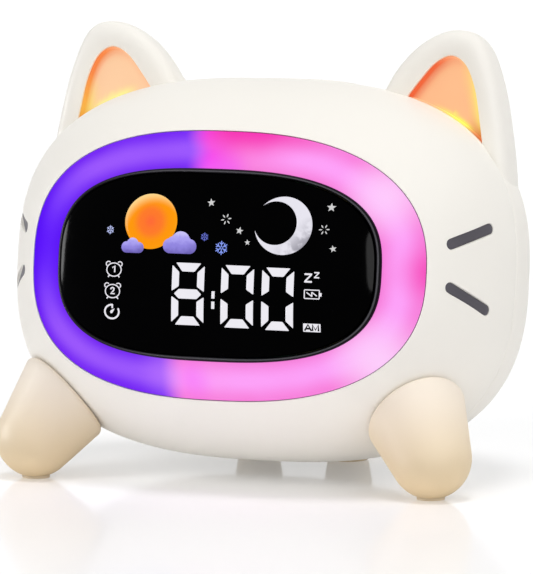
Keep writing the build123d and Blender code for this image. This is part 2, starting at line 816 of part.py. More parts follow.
def icon_faces():
    faces = [round_face(SUN), round_face(MOON) - round_face(MOON_CUT)]
    for x, z, half in CLOUDS:
        faces.append(Pos(x, z) * SlotOverall(2 * half, CLOUD_HEIGHT))
    return faces


def digit_block():
    grow = -BEZEL_WIDTH - 4 * FIT_GAP
    block = prism(WINDOW_HALF, WINDOW_POWER, BLOCK_BACK_Y, BLOCK_FRONT_Y, grow)
    for face in segment_faces() + icon_faces():
        block = block - across(face, BLOCK_BACK_Y + OVERCUT, BLOCK_FRONT_Y - OVERCUT)
    return block


def diffusers(faces):
    solids = [across(face, BLOCK_FRONT_Y + DIFFUSER_DEPTH, BLOCK_FRONT_Y) for face in faces]
    return separate(solids)


def display_board():
    grow = -BEZEL_WIDTH - 2 * FIT_GAP
    return prism(WINDOW_HALF, WINDOW_POWER, BLOCK_BACK_Y + BOARD_THICK, BLOCK_BACK_Y, grow)


# ---- light box

def between_outlines(y_back, y_front, outer_grow, inner_grow):
    outer = prism(RING_HALF, RING_POWER, y_back, y_front, outer_grow)
    return outer - prism(WINDOW_HALF, WINDOW_POWER, y_back + OVERCUT, y_front - OVERCUT, inner_grow)


def ring_tray():
    """The tray drops into the collar, and its lip and lugs rest on the front shell."""
    lip_back_y = COLLAR_BACK_Y + TRAY_LIP_THICK
    tray = between_outlines(COLLAR_BACK_Y, TRAY_FRONT_Y, -FIT_GAP, 2 * FIT_GAP)
    tray = tray + between_outlines(lip_back_y, COLLAR_BACK_Y, COLLAR_THICK, 2 * FIT_GAP)
    for x, z in corners(TRAY_LUG):
        tray = tray + cylinder_y(x, z, TRAY_LUG_RADIUS, COLLAR_BACK_Y, lip_back_y)
    for x, z in corners(MAIN_POSTS):
        tray = tray + cylinder_y(x, z, POST_RADIUS, TRAY_FRONT_Y + OVERCUT, MAIN_BOARD_Y)
    for x, z in corners(TRAY_LUG):
        tray = tray - cylinder_y(x, z, SCREW_CLEARANCE_RADIUS, COLLAR_BACK_Y - OVERCUT, lip_back_y + OVERCUT)
    for x, z in corners(CASE_SCREWS):
        tray = tray - cylinder_y(x, z, CASE_POST_RADIUS + 2 * FIT_GAP, CLEAR_FRONT_Y, OPENING_BACK_Y)
    for x, z in corners(MAIN_POSTS):
        radius = SMALL_SCREW_RADIUS + SLIDE_GAP
        tray = tray - cylinder_y(x, z, radius, MAIN_BOARD_Y - SMALL_SCREW_LENGTH, MAIN_BOARD_Y + OVERCUT)
    return tray


def ring_board():
    return between_outlines(TRAY_FRONT_Y, RING_BOARD_Y, -4 * FIT_GAP, 5 * FIT_GAP)


def ring_leds():
    half_x = (RING_HALF[0] + WINDOW_HALF[0]) / 2
    half_z = (RING_HALF[1] + WINDOW_HALF[1]) / 2
    leds = []
    for step in range(RING_LED_COUNT):
        x, z = superellipse_point(half_x, half_z, RING_POWER, (step + 0.5) / RING_LED_COUNT)
        leds.append(box_y(x, z, RING_LED_SIZE, RING_LED_SIZE, RING_BOARD_Y - LED_TALL, RING_BOARD_Y))
    return separate(leds)


# ---- snooze key and the tact switches

def upright(grow, z_low, z_high):
    """The snooze key's outline, run straight up between two heights."""
    outline = superellipse(KEY_HALF[0] + grow, KEY_HALF[1] + grow, KEY_POWER)
    return Pos(0, KEY_Y, z_low) * extrude(outline, amount=z_high - z_low)


def key_opening():
    return upright(KEY_GAP, ROOF_LOW_Z, ROOF_HIGH_Z)


def snooze_key():
    """The cap follows the head's roof, with a flange inside that keeps it in."""
    flange_top = WALL + KEY_FLANGE_GAP
    cap = upright(0, ROOF_LOW_Z, ROOF_HIGH_Z) & (head_solid(-KEY_PROUD) - head_solid(WALL + OVERCUT))
    band = head_solid(flange_top) - head_solid(flange_top + KEY_FLANGE_THICK)
    flange = upright(KEY_FLANGE, ROOF_LOW_Z, ROOF_HIGH_Z) & band
    stem_low = TOP_BOARD_Z + BOARD_THICK + TACT_HEIGHT + PLUNGER_PROUD
    stem_height = KEY_STEM_TOP_Z - stem_low
    stem = Pos(0, KEY_Y, stem_low + stem_height / 2) * Cylinder(KEY_STEM_RADIUS, stem_height)
    return cap + flange + stem


def standing_cylinder(radius, z_low, height):
    return Pos(0, 0, z_low + height / 2) * Cylinder(radius, height)


def tact_switch():
    """The switch's body stands on its board at z = 0; its plunger runs in the bore."""
    body = Pos(0, 0, TACT_HEIGHT / 2) * Box(TACT_SIZE, TACT_SIZE, TACT_HEIGHT)
    depth = PLUNGER_LENGTH - PLUNGER_PROUD + PLUNGER_ROOM
    return body - standing_cylinder(PLUNGER_RADIUS + SLIDE_GAP, TACT_HEIGHT - depth, depth + OVERCUT)


def switch_plunger():
    return standing_cylinder(PLUNGER_RADIUS, TACT_HEIGHT + PLUNGER_PROUD - PLUNGER_LENGTH, PLUNGER_LENGTH)


def top_switch_place():
    return Pos(0, KEY_Y, TOP_BOARD_Z + BOARD_THICK)


def top_post(x):
    """Stands from the roof down to the top key board."""
    low = TOP_BOARD_Z + BOARD_THICK
    post = Pos(x, KEY_Y, (low + ROOF_HIGH_Z) / 2) * Cylinder(POST_RADIUS, ROOF_HIGH_Z - low)
    return post & head_solid(WALL / 2)


def top_key_board():
    return Pos(0, KEY_Y, TOP_BOARD_Z + BOARD_THICK / 2) * Box(*TOP_BOARD_SIZE, BOARD_THICK)


# ---- buttons on the back

def button_places():
    count = len(BUTTON_NAMES)
    return [BUTTON_PITCH * (step - (count - 1) / 2) for step in range(count)]


def back_switch_place(x):
    """On the key board, the switch's own z pointing to the back."""
    return Plane(origin=(x, KEY_BOARD_Y, BUTTON_Z), x_dir=(1, 0, 0), z_dir=(0, 1, 0)).location


def button_cap(x):
    flange_back = BACK_INNER_Y - BUTTON_GAP
    flange_front = flange_back - BUTTON_FLANGE_THICK
    cap = cylinder_y(x, BUTTON_Z, BUTTON_RADIUS, flange_front, BACK_Y + BUTTON_PROUD)
    cap = fillet(cap.edges().sort_by(Axis.Y)[-1], BUTTON_EDGE)
    flange = cylinder_y(x, BUTTON_Z, BUTTON_RADIUS + BUTTON_FLANGE, flange_front, flange_back)
    stem_low = KEY_BOARD_Y + TACT_HEIGHT + PLUNGER_PROUD
    stem = cylinder_y(x, BUTTON_Z, KEY_STEM_RADIUS, stem_low, flange_back)
    return cap + flange + stem


def key_board():
    board = box_y(0, KEY_BOARD_Z, *KEY_BOARD_SIZE, KEY_BOARD_Y - BOARD_THICK, KEY_BOARD_Y)
    front, back = KEY_BOARD_Y - BOARD_THICK - OVERCUT, KEY_BOARD_Y + OVERCUT
    board = board - cylinder_y(0, SPEAKER_Z, SPEAKER_RADIUS + 4 * FIT_GAP, front, back)
    for x, z in KEY_POSTS:
        board = board - cylinder_y(x, z, SCREW_CLEARANCE_RADIUS, front, back)
    return board


# ---- charging socket and power switch

def usb_socket():
    width, height = SOCKET_SIZE
    sheet = 2 * SOCKET_SHEET
    floor = KEY_BOARD_Y + SOCKET_FLOOR
    outer = rounded_slot(SOCKET_X, SOCKET_Z, width, height, KEY_BOARD_Y, BACK_Y - SOCKET_SET_BACK)
    return outer - rounded_slot(SOCKET_X, SOCKET_Z, width - sheet, height - sheet, floor, BACK_Y)


def usb_tongue():
    return box_y(SOCKET_X, SOCKET_Z, *TONGUE_SIZE, KEY_BOARD_Y + SOCKET_FLOOR, BACK_Y - TONGUE_SET_BACK)


def knob_slot_size():
    return KNOB_SIZE[0] + KNOB_TRAVEL + 2 * KNOB_GAP, KNOB_SIZE[1] + 2 * KNOB_GAP


def power_knob():
    x = SWITCH_X - KNOB_TRAVEL / 2
    low = KEY_BOARD_Y + SWITCH_FLOOR + 2 * KNOB_GAP
    knob = box_y(x, SOCKET_Z, *KNOB_SIZE, low, BACK_Y + KNOB_PROUD)
    top = knob.faces().sort_by(Axis.Y)[-1]
    return chamfer(top.edges(), KNOB_EDGE)


def power_switch_body():
    back = BACK_INNER_Y - KNOB_GAP
    body = box_y(SWITCH_X, SOCKET_Z, *SWITCH_SIZE, KEY_BOARD_Y, back)
    width, height = knob_slot_size()
    return body - box_y(SWITCH_X, SOCKET_Z, width, height, KEY_BOARD_Y + SWITCH_FLOOR, back + OVERCUT)


# ---- speaker

def speaker_lugs():
    places = []
    for turn in (90, 210, 330):
        angle = math.radians(turn)
        places.append((SPEAKER_LUG_RING * math.cos(angle), SPEAKER_Z + SPEAKER_LUG_RING * math.sin(angle)))
    return places


def speaker_funnel(y_back, radius_back, y_front, radius_front):
    back = facing_front(y_back) * Pos(0, SPEAKER_Z) * Circle(radius_back)
    front = facing_front(y_front) * Pos(0, SPEAKER_Z) * Circle(radius_front)
    return loft([back, front])


def speaker_basket():
    flange_front = BACK_INNER_Y - SPEAKER_FLANGE
    basket = cylinder_y(0, SPEAKER_Z, SPEAKER_RADIUS, flange_front, BACK_INNER_Y)
    for x, z in speaker_lugs():
        basket = basket + cylinder_y(x, z, SPEAKER_LUG_RADIUS, flange_front, BACK_INNER_Y)
    cup = speaker_funnel(flange_front, SPEAKER_RADIUS - 1, BASKET_FRONT_Y, MAGNET_RADIUS)
    bowl = speaker_funnel(BACK_INNER_Y + SLIDE_GAP, SPEAKER_RADIUS - SPEAKER_RIM,
                          BASKET_FRONT_Y + BASKET_SHEET, MAGNET_RADIUS - SPEAKER_RIM)
    basket = basket + cup - bowl
    for x, z in speaker_lugs():
        hole_radius = SPEAKER_SCREW_RADIUS + 2 * SLIDE_GAP
        basket = basket - cylinder_y(x, z, hole_radius, flange_front - OVERCUT, BACK_INNER_Y + OVERCUT)
    return basket


def speaker_cone():
    rim_radius = SPEAKER_RADIUS - SPEAKER_RIM - 2 * CONE_PAPER
    outer = speaker_funnel(BACK_INNER_Y - 2 * FIT_GAP, rim_radius + CONE_PAPER,
                           CONE_FRONT_Y, CONE_NECK_RADIUS)
    inner = speaker_funnel(BACK_INNER_Y - FIT_GAP, rim_radius,
                           CONE_FRONT_Y + CONE_PAPER, CONE_NECK_RADIUS - CONE_PAPER)
    return outer - inner


def speaker_magnet():
    return cylinder_y(0, SPEAKER_Z, MAGNET_RADIUS, MAGNET_FRONT_Y, BASKET_FRONT_Y)


def speaker_screws():
    seat = BACK_INNER_Y - SPEAKER_FLANGE
    screws = []
    for x, z in speaker_lugs():
        screws.append(screw_y(x, z, seat, SPEAKER_SCREW_RADIUS, SPEAKER_SCREW_LENGTH, head_behind=False))
    return separate(screws)


# ---- battery

def along_cell(radius, length):
    return Pos(0, CELL_Y, CELL_Z) * Rot(0, 90, 0) * Cylinder(radius, length)


def battery_cell():
    cell = along_cell(CELL_RADIUS, CELL_LENGTH)
    return fillet(cell.edges(), CELL_EDGE)


def battery_cradle():
    """A trough under the cell, on ribs that stand on the rear shell's floor."""
    room_length = CELL_LENGTH + 2 * CELL_GAP
    room_radius = CELL_RADIUS + CELL_GAP
    trough_size = (CELL_LENGTH + 2 * CRADLE_END, 2 * (CELL_RADIUS + CRADLE_WALL), CRADLE_HEIGHT)
    cradle = Pos(0, CELL_Y, CELL_Z - CRADLE_HEIGHT / 2 + 0.5) * Box(*trough_size)
    for x in (-CRADLE_RIB_X, CRADLE_RIB_X):
        rib = Pos(x, CELL_Y, CELL_Z - 20) * Box(*CRADLE_RIB_SIZE)
        cradle = cradle + (rib & head_solid(WALL + SLIDE_GAP))
    way_in = Pos(0, CELL_Y, CELL_Z + CRADLE_HEIGHT / 2) * Box(room_length, 2 * room_radius, CRADLE_HEIGHT)
    return cradle - along_cell(room_radius, room_length) - way_in


# ---- main board and leads

def main_board():
    board = box_y(0, 0, *MAIN_BOARD_SIZE, MAIN_BOARD_Y, MAIN_BOARD_BACK_Y)
    front, back = MAIN_BOARD_Y - OVERCUT, MAIN_BOARD_BACK_Y + OVERCUT
    for x, z in corners(MAIN_POSTS):
        board = board - cylinder_y(x, z, SCREW_CLEARANCE_RADIUS, front, back)
    return board


def board_screws():
    """The small screws that hold the tray, the main board and the key board."""
    screws = []
    for x, z in corners(TRAY_LUG):
        screws.append(screw_y(x, z, COLLAR_BACK_Y + TRAY_LIP_THICK, SMALL_SCREW_RADIUS, SMALL_SCREW_LENGTH))
    for x, z in corners(MAIN_POSTS):
        screws.append(screw_y(x, z, MAIN_BOARD_BACK_Y, SMALL_SCREW_RADIUS, SMALL_SCREW_LENGTH))
    key_seat = KEY_BOARD_Y - BOARD_THICK
    for x, z in KEY_POSTS:
        screws.append(screw_y(x, z, key_seat, SMALL_SCREW_RADIUS, KEY_SCREW_LENGTH, head_behind=False))
    return separate(screws)


def on_main_board(x, z, width, height, tall):
    return box_y(x, z, width, height, MAIN_BOARD_BACK_Y, MAIN_BOARD_BACK_Y + tall)


def board_chips():
    return separate([on_main_board(*chip) for chip in CHIPS])


def board_plugs():
    """The three white plugs where the leads meet the main board."""
    return separate([on_main_board(x, z, *PLUG_SIZE, PLUG_TALL) for x, z in PLUGS])


def coin_cell():
    low = MAIN_BOARD_BACK_Y + COIN_LIFT
    return cylinder_y(COIN_X, 0, COIN_RADIUS, low, low + COIN_THICK)


def coin_clip():
    cup = cylinder_y(COIN_X, 0, COIN_RADIUS + CLIP_WALL, MAIN_BOARD_BACK_Y, MAIN_BOARD_BACK_Y + CLIP_HEIGHT)
    room = cylinder_y(COIN_X, 0, COIN_RADIUS + 2 * SLIDE_GAP, MAIN_BOARD_BACK_Y + COIN_LIFT, 0)
    return cup - room


def lead(plug, points, bend):
    """A round lead from a plug's face through points given by hand."""
    x, z = plug
    route = [(x, PLUG_FACE_Y, z), *points]
    path = FilletPolyline(route, radius=bend)
    start = Plane(origin=route[0], z_dir=Vector(*route[1]) - Vector(*route[0]))
    return sweep(start * Circle(LEAD_RADIUS), path=path)


def battery_lead():
    end_x = -CELL_LENGTH / 2 - 4
    return lead(PLUGS[0], [(PLUGS[0][0], -8, PLUGS[0][1]), (end_x, -3, -20), (end_x, 8, -21)], 3.5)


def speaker_lead():
    z = SPEAKER_Z + 2
    return lead(PLUGS[1], [(PLUGS[1][0], -4, PLUGS[1][1]), (-4, 10, z), (-4, MAGNET_FRONT_Y, z)], 6.0)


def key_lead():
    end_y = KEY_BOARD_Y - BOARD_THICK
    return lead(PLUGS[2], [(PLUGS[2][0], -6, PLUGS[2][1]), (24, 8, 8), (24, end_y, 8)], 6.0)


# ---- case screws

def case_screws():
    screws = []
    for x, z in corners(CASE_SCREWS):
        screws.append(screw_y(x, z, CASE_SEAT_Y, CASE_SCREW_RADIUS, CASE_SCREW_LENGTH))
    return separate(screws)


# ---- the whole clock

def placed_nodes():
    """The sub-parts that are drawn in the clock's own frame."""
    nodes = {
        "front_shell": front_shell(),
        "rear_shell": rear_shell(),
        "foot_pads": separate(both_sides(foot_pad())),
        "foot_screws": separate(both_sides(foot_screw())),
        "rear_feet": separate(both_sides(rear_foot())),
    }
    for side, foot in zip(("right", "left"), both_sides(foot_right())):
        nodes["foot_" + side] = foot
    return nodes


def head_nodes():
    """The sub-parts that are drawn in the head's frame."""
    nodes = {
        "light_ring": light_ring(),
        "window_bezel": window_bezel(),
        "display_window": display_window(),
        "digit_block": digit_block(),
        "digit_segments": diffusers(segment_faces()),
        "icon_diffusers": diffusers(icon_faces()),
        "display_board": display_board(),
        "ring_tray": ring_tray(),
        "ring_board": ring_board(),
        "ring_leds": ring_leds(),
        "snooze_key": snooze_key(),
        "snooze_plunger": top_switch_place() * switch_plunger(),
        "snooze_switch": top_switch_place() * tact_switch(),
        "top_key_board": top_key_board(),
        "key_board": key_board(),
        "button_switches": separate([back_switch_place(x) * tact_switch() for x in button_places()]),
        "usb_socket": usb_socket(),
        "usb_tongue": usb_tongue(),
        "power_knob": power_knob(),
        "power_switch_body": power_switch_body(),
        "speaker_basket": speaker_basket(),
        "speaker_cone": speaker_cone(),
        "speaker_magnet": speaker_magnet(),
        "speaker_screws": speaker_screws(),
        "battery_cell": battery_cell(),
        "battery_cradle": battery_cradle(),
        "main_board": main_board(),
        "board_screws": board_screws(),
        "board_chips": board_chips(),
        "board_plugs": board_plugs(),
        "coin_cell": coin_cell(),
        "coin_clip": coin_clip(),
        "battery_lead": battery_lead(),
        "speaker_lead": speaker_lead(),
        "key_lead": key_lead(),
        "case_screws": case_screws(),
        "ear_boards": separate(both_sides(ear_board())),
        "ear_leds": separate(both_sides(ear_led())),
    }
    for side, shape in zip(("right", "left"), both_sides(ear_lens())):
        nodes["ear_lens_" + side] = shape
    for side, shape in zip(("right", "left"), both_sides(whiskers())):
        nodes["whiskers_" + side] = shape
    for name, x in zip(BUTTON_NAMES, button_places()):
        nodes[name + "_button"] = button_cap(x)
        nodes[name + "_plunger"] = back_switch_place(x) * switch_plunger()
    return nodes


def build_nodes():
    """Every sub-part of the clock, by node name, in the clock's frame."""
    nodes = placed_nodes()
    for name, shape in head_nodes().items():
        nodes[name] = in_place(shape)
    return nodes


def write_parts():
    os.makedirs("parts", exist_ok=True)
    for name, shape in build_nodes().items():
        export_step(shape, f"parts/{name}.step")
        print(name, len(shape.solids()), round(shape.volume, 1))


write_parts()
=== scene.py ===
import json
import math
import bpy
import bmesh
from mathutils import Matrix, Vector


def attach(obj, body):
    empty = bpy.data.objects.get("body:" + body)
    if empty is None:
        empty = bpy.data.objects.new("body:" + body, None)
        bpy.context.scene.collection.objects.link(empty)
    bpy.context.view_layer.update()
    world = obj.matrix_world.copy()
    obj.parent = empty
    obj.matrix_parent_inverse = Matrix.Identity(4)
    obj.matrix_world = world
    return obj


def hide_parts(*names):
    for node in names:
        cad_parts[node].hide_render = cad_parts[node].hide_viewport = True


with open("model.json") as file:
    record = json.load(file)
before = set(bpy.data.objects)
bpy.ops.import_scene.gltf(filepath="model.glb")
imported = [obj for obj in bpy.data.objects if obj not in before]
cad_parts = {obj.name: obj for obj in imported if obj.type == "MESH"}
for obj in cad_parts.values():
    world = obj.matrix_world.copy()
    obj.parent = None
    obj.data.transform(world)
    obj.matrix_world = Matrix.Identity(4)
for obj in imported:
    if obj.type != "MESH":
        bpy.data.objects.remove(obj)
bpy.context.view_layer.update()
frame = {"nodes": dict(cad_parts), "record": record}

print("frame loaded")

# The head's form, in millimetres, in the head's own frame: x right, y back, z up
head = {
    "halfWidth": 75.0,
    "halfHeight": 55.5,
    "frontDepth": 57.0,
    "rearDepth": 45.5,
    "outlinePower": 2.65,
    "frontPower": 2.35,
    "rearPower": 2.45,
    "backY": 42.0,
    "seamY": -4.0,
    "wall": 2.4,
    "tilt": 7.7,
    "lift": (0.0, 6.2, 58.7),
}
millimetre = 0.001
clockFromMillimetres = Matrix.Scale(millimetre, 4)
clockFromHead = (clockFromMillimetres @ Matrix.Translation(head["lift"])
                 @ Matrix.Rotation(math.radians(-head["tilt"]), 4, "X"))
around = 192  # points in each ring of the casing
sides = ((1, "right"), (-1, "left"))


# The camera first: it stands to the right of the display and a little above it
camera = {
    "aside": 19.8,
    "above": 6.7,
    "distance": 1.6,
    "lens": 345.2,
    "shift": (-0.01307, -0.0303),
}


def addCamera():
    aside, above = math.radians(camera["aside"]), math.radians(camera["above"])
    towards = Vector((math.sin(aside) * math.cos(above), -math.cos(aside) * math.cos(above), math.sin(above)))
    data = bpy.data.cameras.new("camera")
    data.lens = camera["lens"]
    data.sensor_width = 36.0
    data.shift_x, data.shift_y = camera["shift"]
    holder = bpy.data.objects.new("camera", data)
    bpy.context.scene.collection.objects.link(holder)
    middle = Vector(head["lift"]) * millimetre
    holder.location = middle + towards * camera["distance"]
    holder.rotation_euler = towards.to_track_quat("Z", "Y").to_euler()
    bpy.context.scene.camera = holder


addCamera()


# Colours and shader helpers

def colour(red, green, blue):
    # screen values 0 to 255, turned into the linear light that shaders use
    light = []
    for value in (red, green, blue):
        part = value / 255
        light.append(part / 12.92 if part <= 0.04045 else ((part + 0.055) / 1.055) ** 2.4)
    return (*light, 1.0)


def link(tree, source, target):
    tree.links.new(source, target)


def feed(tree, socket, value):
    # a plain value is set on the socket, and what another node puts out is linked to it
    if isinstance(value, (int, float, tuple)):
        socket.default_value = value
    else:
        link(tree, value, socket)


def mathNode(tree, operation, first, second=0.0, clamp=False):
    node = tree.nodes.new("ShaderNodeMath")
    node.operation = operation
    node.use_clamp = clamp
    feed(tree, node.inputs[0], first)
    feed(tree, node.inputs[1], second)
    return node.outputs[0]


def plus(tree, first, second, clamp=False):
    return mathNode(tree, "ADD", first, second, clamp)


def minus(tree, first, second):
    return mathNode(tree, "SUBTRACT", first, second)


def times(tree, first, second, clamp=False):
    return mathNode(tree, "MULTIPLY", first, second, clamp)


def mixColour(tree, factor, first, second):
    node = tree.nodes.new("ShaderNodeMix")
    node.data_type = "RGBA"
    for socket, value in ((0, factor), (6, first), (7, second)):
        feed(tree, node.inputs[socket], value)
    return node.outputs[2]


def ramp(tree, factor, stops):
    node = tree.nodes.new("ShaderNodeValToRGB")
    node.color_ramp.interpolation = "EASE"
    elements = node.color_ramp.elements
    while len(elements) < len(stops):
        elements.new(1.0)
    for element, (place, value) in zip(elements, stops):
        element.position = place
        element.color = value
    link(tree, factor, node.inputs[0])
    return node.outputs[0]


def between(tree, value, low, high):
    # 0 at low, 1 at high, eased at both ends
    node = tree.nodes.new("ShaderNodeMapRange")
    node.interpolation_type = "SMOOTHSTEP"
    link(tree, value, node.inputs["Value"])
    node.inputs["From Min"].default_value = low
    node.inputs["From Max"].default_value = high
    return node.outputs[0]


def noise(tree, place, scale, detail=2.0):
    node = tree.nodes.new("ShaderNodeTexNoise")
    node.inputs["Detail"].default_value = detail
    feed(tree, node.inputs["Scale"], scale)
    link(tree, place, node.inputs["Vector"])
    return node.outputs["Fac"]


def reachNode(tree, right, up, middleRight=0.0, middleUp=0.0):
    # how far a place is from a middle
    squares = []
    for value, middle in ((right, middleRight), (up, middleUp)):
        away = mathNode(tree, "ABSOLUTE", minus(tree, value, middle))
        squares.append(mathNode(tree, "POWER", away, 2.0))
    return mathNode(tree, "SQRT", plus(tree, *squares))


def objectPlace(tree):
    return tree.nodes.new("ShaderNodeTexCoord").outputs["Object"]


def placeParts(tree):
    node = tree.nodes.new("ShaderNodeSeparateXYZ")
    link(tree, objectPlace(tree), node.inputs[0])
    return node.outputs


def attribute(tree, name):
    node = tree.nodes.new("ShaderNodeAttribute")
    node.attribute_name = name
    return node.outputs["Fac"]


def newGroup(name, inputs, outputs):
    group = bpy.data.node_groups.new(name, "ShaderNodeTree")
    for label, kind, value in inputs:
        socket = group.interface.new_socket(label, in_out="INPUT", socket_type=kind)
        socket.default_value = value
    for label, kind in outputs:
        group.interface.new_socket(label, in_out="OUTPUT", socket_type=kind)
    return group, group.nodes.new("NodeGroupInput"), group.nodes.new("NodeGroupOutput")


def mouldedGrainGroup():
    # the fine orange-peel of a moulded face over slow, shallow waves
    group, given, result = newGroup(
        "mouldedGrain",
        [("Grain Scale", "NodeSocketFloat", 2600.0), ("Wave Scale", "NodeSocketFloat", 40.0),
         ("Wave Share", "NodeSocketFloat", 0.2)],
        [("Height", "NodeSocketFloat"), ("Patches", "NodeSocketFloat")])
    place = objectPlace(group)
    grain = noise(group, place, given.outputs["Grain Scale"], 3.0)
    wave = noise(group, place, given.outputs["Wave Scale"], 1.0)
    shallow = times(group, wave, given.outputs["Wave Share"])
    link(group, plus(group, grain, shallow), result.inputs["Height"])
    link(group, between(group, wave, 0.3, 0.7), result.inputs["Patches"])
    return group


def handlingGroup():
    # a tint that drifts over the piece and a faint film of dust and touch marks
    group, given, result = newGroup(
        "handling",
        [("Color", "NodeSocketColor", (0.8, 0.8, 0.8, 1)),
         ("Drift Color", "NodeSocketColor", (0.7, 0.7, 0.7, 1)), ("Drift", "NodeSocketFloat", 0.3),
         ("Roughness", "NodeSocketFloat", 0.45), ("Marks", "NodeSocketFloat", 0.08)],
        [("Color", "NodeSocketColor"), ("Roughness", "NodeSocketFloat")])
    place = objectPlace(group)
    drift = times(group, noise(group, place, 22.0, 2.0), given.outputs["Drift"])
    tinted = mixColour(group, drift, given.outputs["Color"], given.outputs["Drift Color"])
    marks = between(group, noise(group, place, 180.0, 4.0), 0.45, 0.75)
    uneven = times(group, marks, given.outputs["Marks"])
    link(group, tinted, result.inputs["Color"])
    link(group, plus(group, given.outputs["Roughness"], uneven, clamp=True), result.inputs["Roughness"])
    return group


mouldedGrain = mouldedGrainGroup()
handling = handlingGroup()


def addGroup(tree, group, values):
    node = tree.nodes.new("ShaderNodeGroup")
    node.node_tree = group
    for label, value in values.items():
        node.inputs[label].default_value = value
    return node


def bump(tree, height, strength, distance):
    node = tree.nodes.new("ShaderNodeBump")
    node.inputs["Strength"].default_value = strength
    node.inputs["Distance"].default_value = distance
    link(tree, height, node.inputs["Height"])
    return node.outputs["Normal"]


def startMaterial(name, sockets):
    material = bpy.data.materials.new(name)
    material.use_nodes = True
    shader = material.node_tree.nodes["Principled BSDF"]
    for label, value in sockets.items():
        shader.inputs[label].default_value = value
    return material, material.node_tree, shader


def addGrain(tree, shader, scale, strength, depth):
    grain = addGroup(tree, mouldedGrain, {"Grain Scale": scale})
    link(tree, bump(tree, grain.outputs["Height"], strength, depth), shader.inputs["Normal"])


def scaledTone(tone, factor):
    return tuple(min(part * factor, 1.0) for part in tone[:3]) + (1.0,)


black = colour(0, 0, 0)
plasticFinish = {
    "drift": 0.35,
    "grainDepth": 0.00004,
}


def plastic(name, base, drift, roughness, marks=0.06, grainScale=2600.0, grainStrength=0.08, **sockets):
    material, tree, shader = startMaterial(name, sockets)
    finish = addGroup(tree, handling, {"Color": base, "Drift Color": drift, "Drift": plasticFinish["drift"],
                                       "Roughness": roughness, "Marks": marks})
    link(tree, finish.outputs["Color"], shader.inputs["Base Color"])
    link(tree, finish.outputs["Roughness"], shader.inputs["Roughness"])
    addGrain(tree, shader, grainScale, grainStrength, plasticFinish["grainDepth"])
    return material


def repaint(material, tone, drift):
    # gives a plastic colours that change over the piece
    tree = material.node_tree
    finish = next(node for node in tree.nodes if node.type == "GROUP" and node.node_tree == handling)
    link(tree, tone, finish.inputs["Color"])
    link(tree, drift, finish.inputs["Drift Color"])


def glow(tree, shader, tone, ownShare):
    # the tone as the piece's own light, over a darker paint for the light that falls on it
    link(tree, tone, shader.inputs["Emission Color"])
    link(tree, mixColour(tree, 1 - ownShare, tone, black), shader.inputs["Base Color"])


shellFinish = {
    "cream": colour(247, 244, 237),
    "warm": colour(243, 237, 228),
}
# the foot's tones, top paler and tip darker, make a painted shade by height
footFinish = {
    "top": colour(249, 238, 224),
    "tip": colour(229, 207, 170),
    "heights": (0.004, 0.036),
    "drift": 0.3,
}


def makeFootMaterial():
    # painted shade: paler where it meets the head, darker and warmer down at its round end, by height
    material = plastic("foot_cream", footFinish["tip"], footFinish["tip"], roughness=0.5, grainStrength=0.12,
                       **{"Specular IOR Level": 0.3})
    tree = material.node_tree
    share = between(tree, placeParts(tree)[2], *footFinish["heights"])
    shade = mixColour(tree, share, footFinish["tip"], footFinish["top"])
    repaint(material, shade, mixColour(tree, footFinish["drift"], shade, footFinish["tip"]))
    return material


shellMaterial = plastic("cream_shell", shellFinish["cream"], shellFinish["warm"], roughness=0.46,
                        grainStrength=0.1, **{"Specular IOR Level": 0.22})
footMaterial = makeFootMaterial()
whiskerMaterial = plastic("whisker_grey", colour(84, 81, 88), colour(70, 68, 76), roughness=0.5,
                          grainStrength=0.2, **{"Specular IOR Level": 0.3})
keyMaterial = plastic("snooze_cream", shellFinish["cream"], shellFinish["warm"], roughness=0.38,
                      grainStrength=0.05, **{"Specular IOR Level": 0.4})
buttonMaterial = plastic("button_grey", colour(150, 146, 146), colour(138, 134, 134), roughness=0.62,
                         grainStrength=0.2, **{"Sheen Weight": 0.15})
print("base materials ready")


# Mesh helpers

def outlineRadius(halfX, halfZ, power, angle):
    # how far a superellipse reaches in a direction from its middle
    across, up = abs(math.cos(angle)), abs(math.sin(angle))
    return ((across / halfX) ** power + (up / halfZ) ** power) ** (-1 / power)


def evenAngles(halfX, halfZ, count=around):
    angles = []
    for step in range(count):
        turn = 2 * math.pi * step / count
        angles.append(math.atan2(halfZ * math.sin(turn), halfX * math.cos(turn)))
    return angles


def shareBetween(value, low, high):
    # 0 at low and before it, 1 at high and past it
    return min(max((value - low) / (high - low), 0.0), 1.0)


def headRadius(angle, inset=0.0):
    return outlineRadius(head["halfWidth"] - inset, head["halfHeight"] - inset, head["outlinePower"], angle)


def headShare(x, z, inset=0.0):
    power = head["outlinePower"]
    across = abs(x) / (head["halfWidth"] - inset)
    up = abs(z) / (head["halfHeight"] - inset)
    return (across ** power + up ** power) ** (1 / power)


def depthAt(share, depth, power):
    return depth * max(1 - min(share, 1.0) ** power, 0.0) ** (1 / power)


def frontY(x, z, inset=0.0):
    return -depthAt(headShare(x, z, inset), head["frontDepth"] - inset, head["frontPower"])


def shareAtY(y, inset=0.0):
    # how much of the head's full outline is left at a depth
    if y < 0:
        depth, power = head["frontDepth"] - inset, head["frontPower"]
    else:
        depth, power = head["rearDepth"] - inset, head["rearPower"]
    return depthAt(abs(y) / depth, 1.0, power)


def polar(reach, y, angle):
    return (reach * math.cos(angle), y, reach * math.sin(angle))


def onSection(angle, y, inset=0.0):
    # the point of the head's skin at a depth, in a direction from its middle
    return polar(shareAtY(y, inset) * headRadius(angle, inset), y, angle)


def onFront(angle, reach, inset=0.0, deeper=0.0):
    x, z = reach * math.cos(angle), reach * math.sin(angle)
    return (x, frontY(x, z, inset) + deeper, z)


def roofZ(x, y, inset=0.0):
    power = head["outlinePower"]
    left = shareAtY(y, inset) ** power - (abs(x) / (head["halfWidth"] - inset)) ** power
    return (head["halfHeight"] - inset) * max(left, 0.0) ** (1 / power)


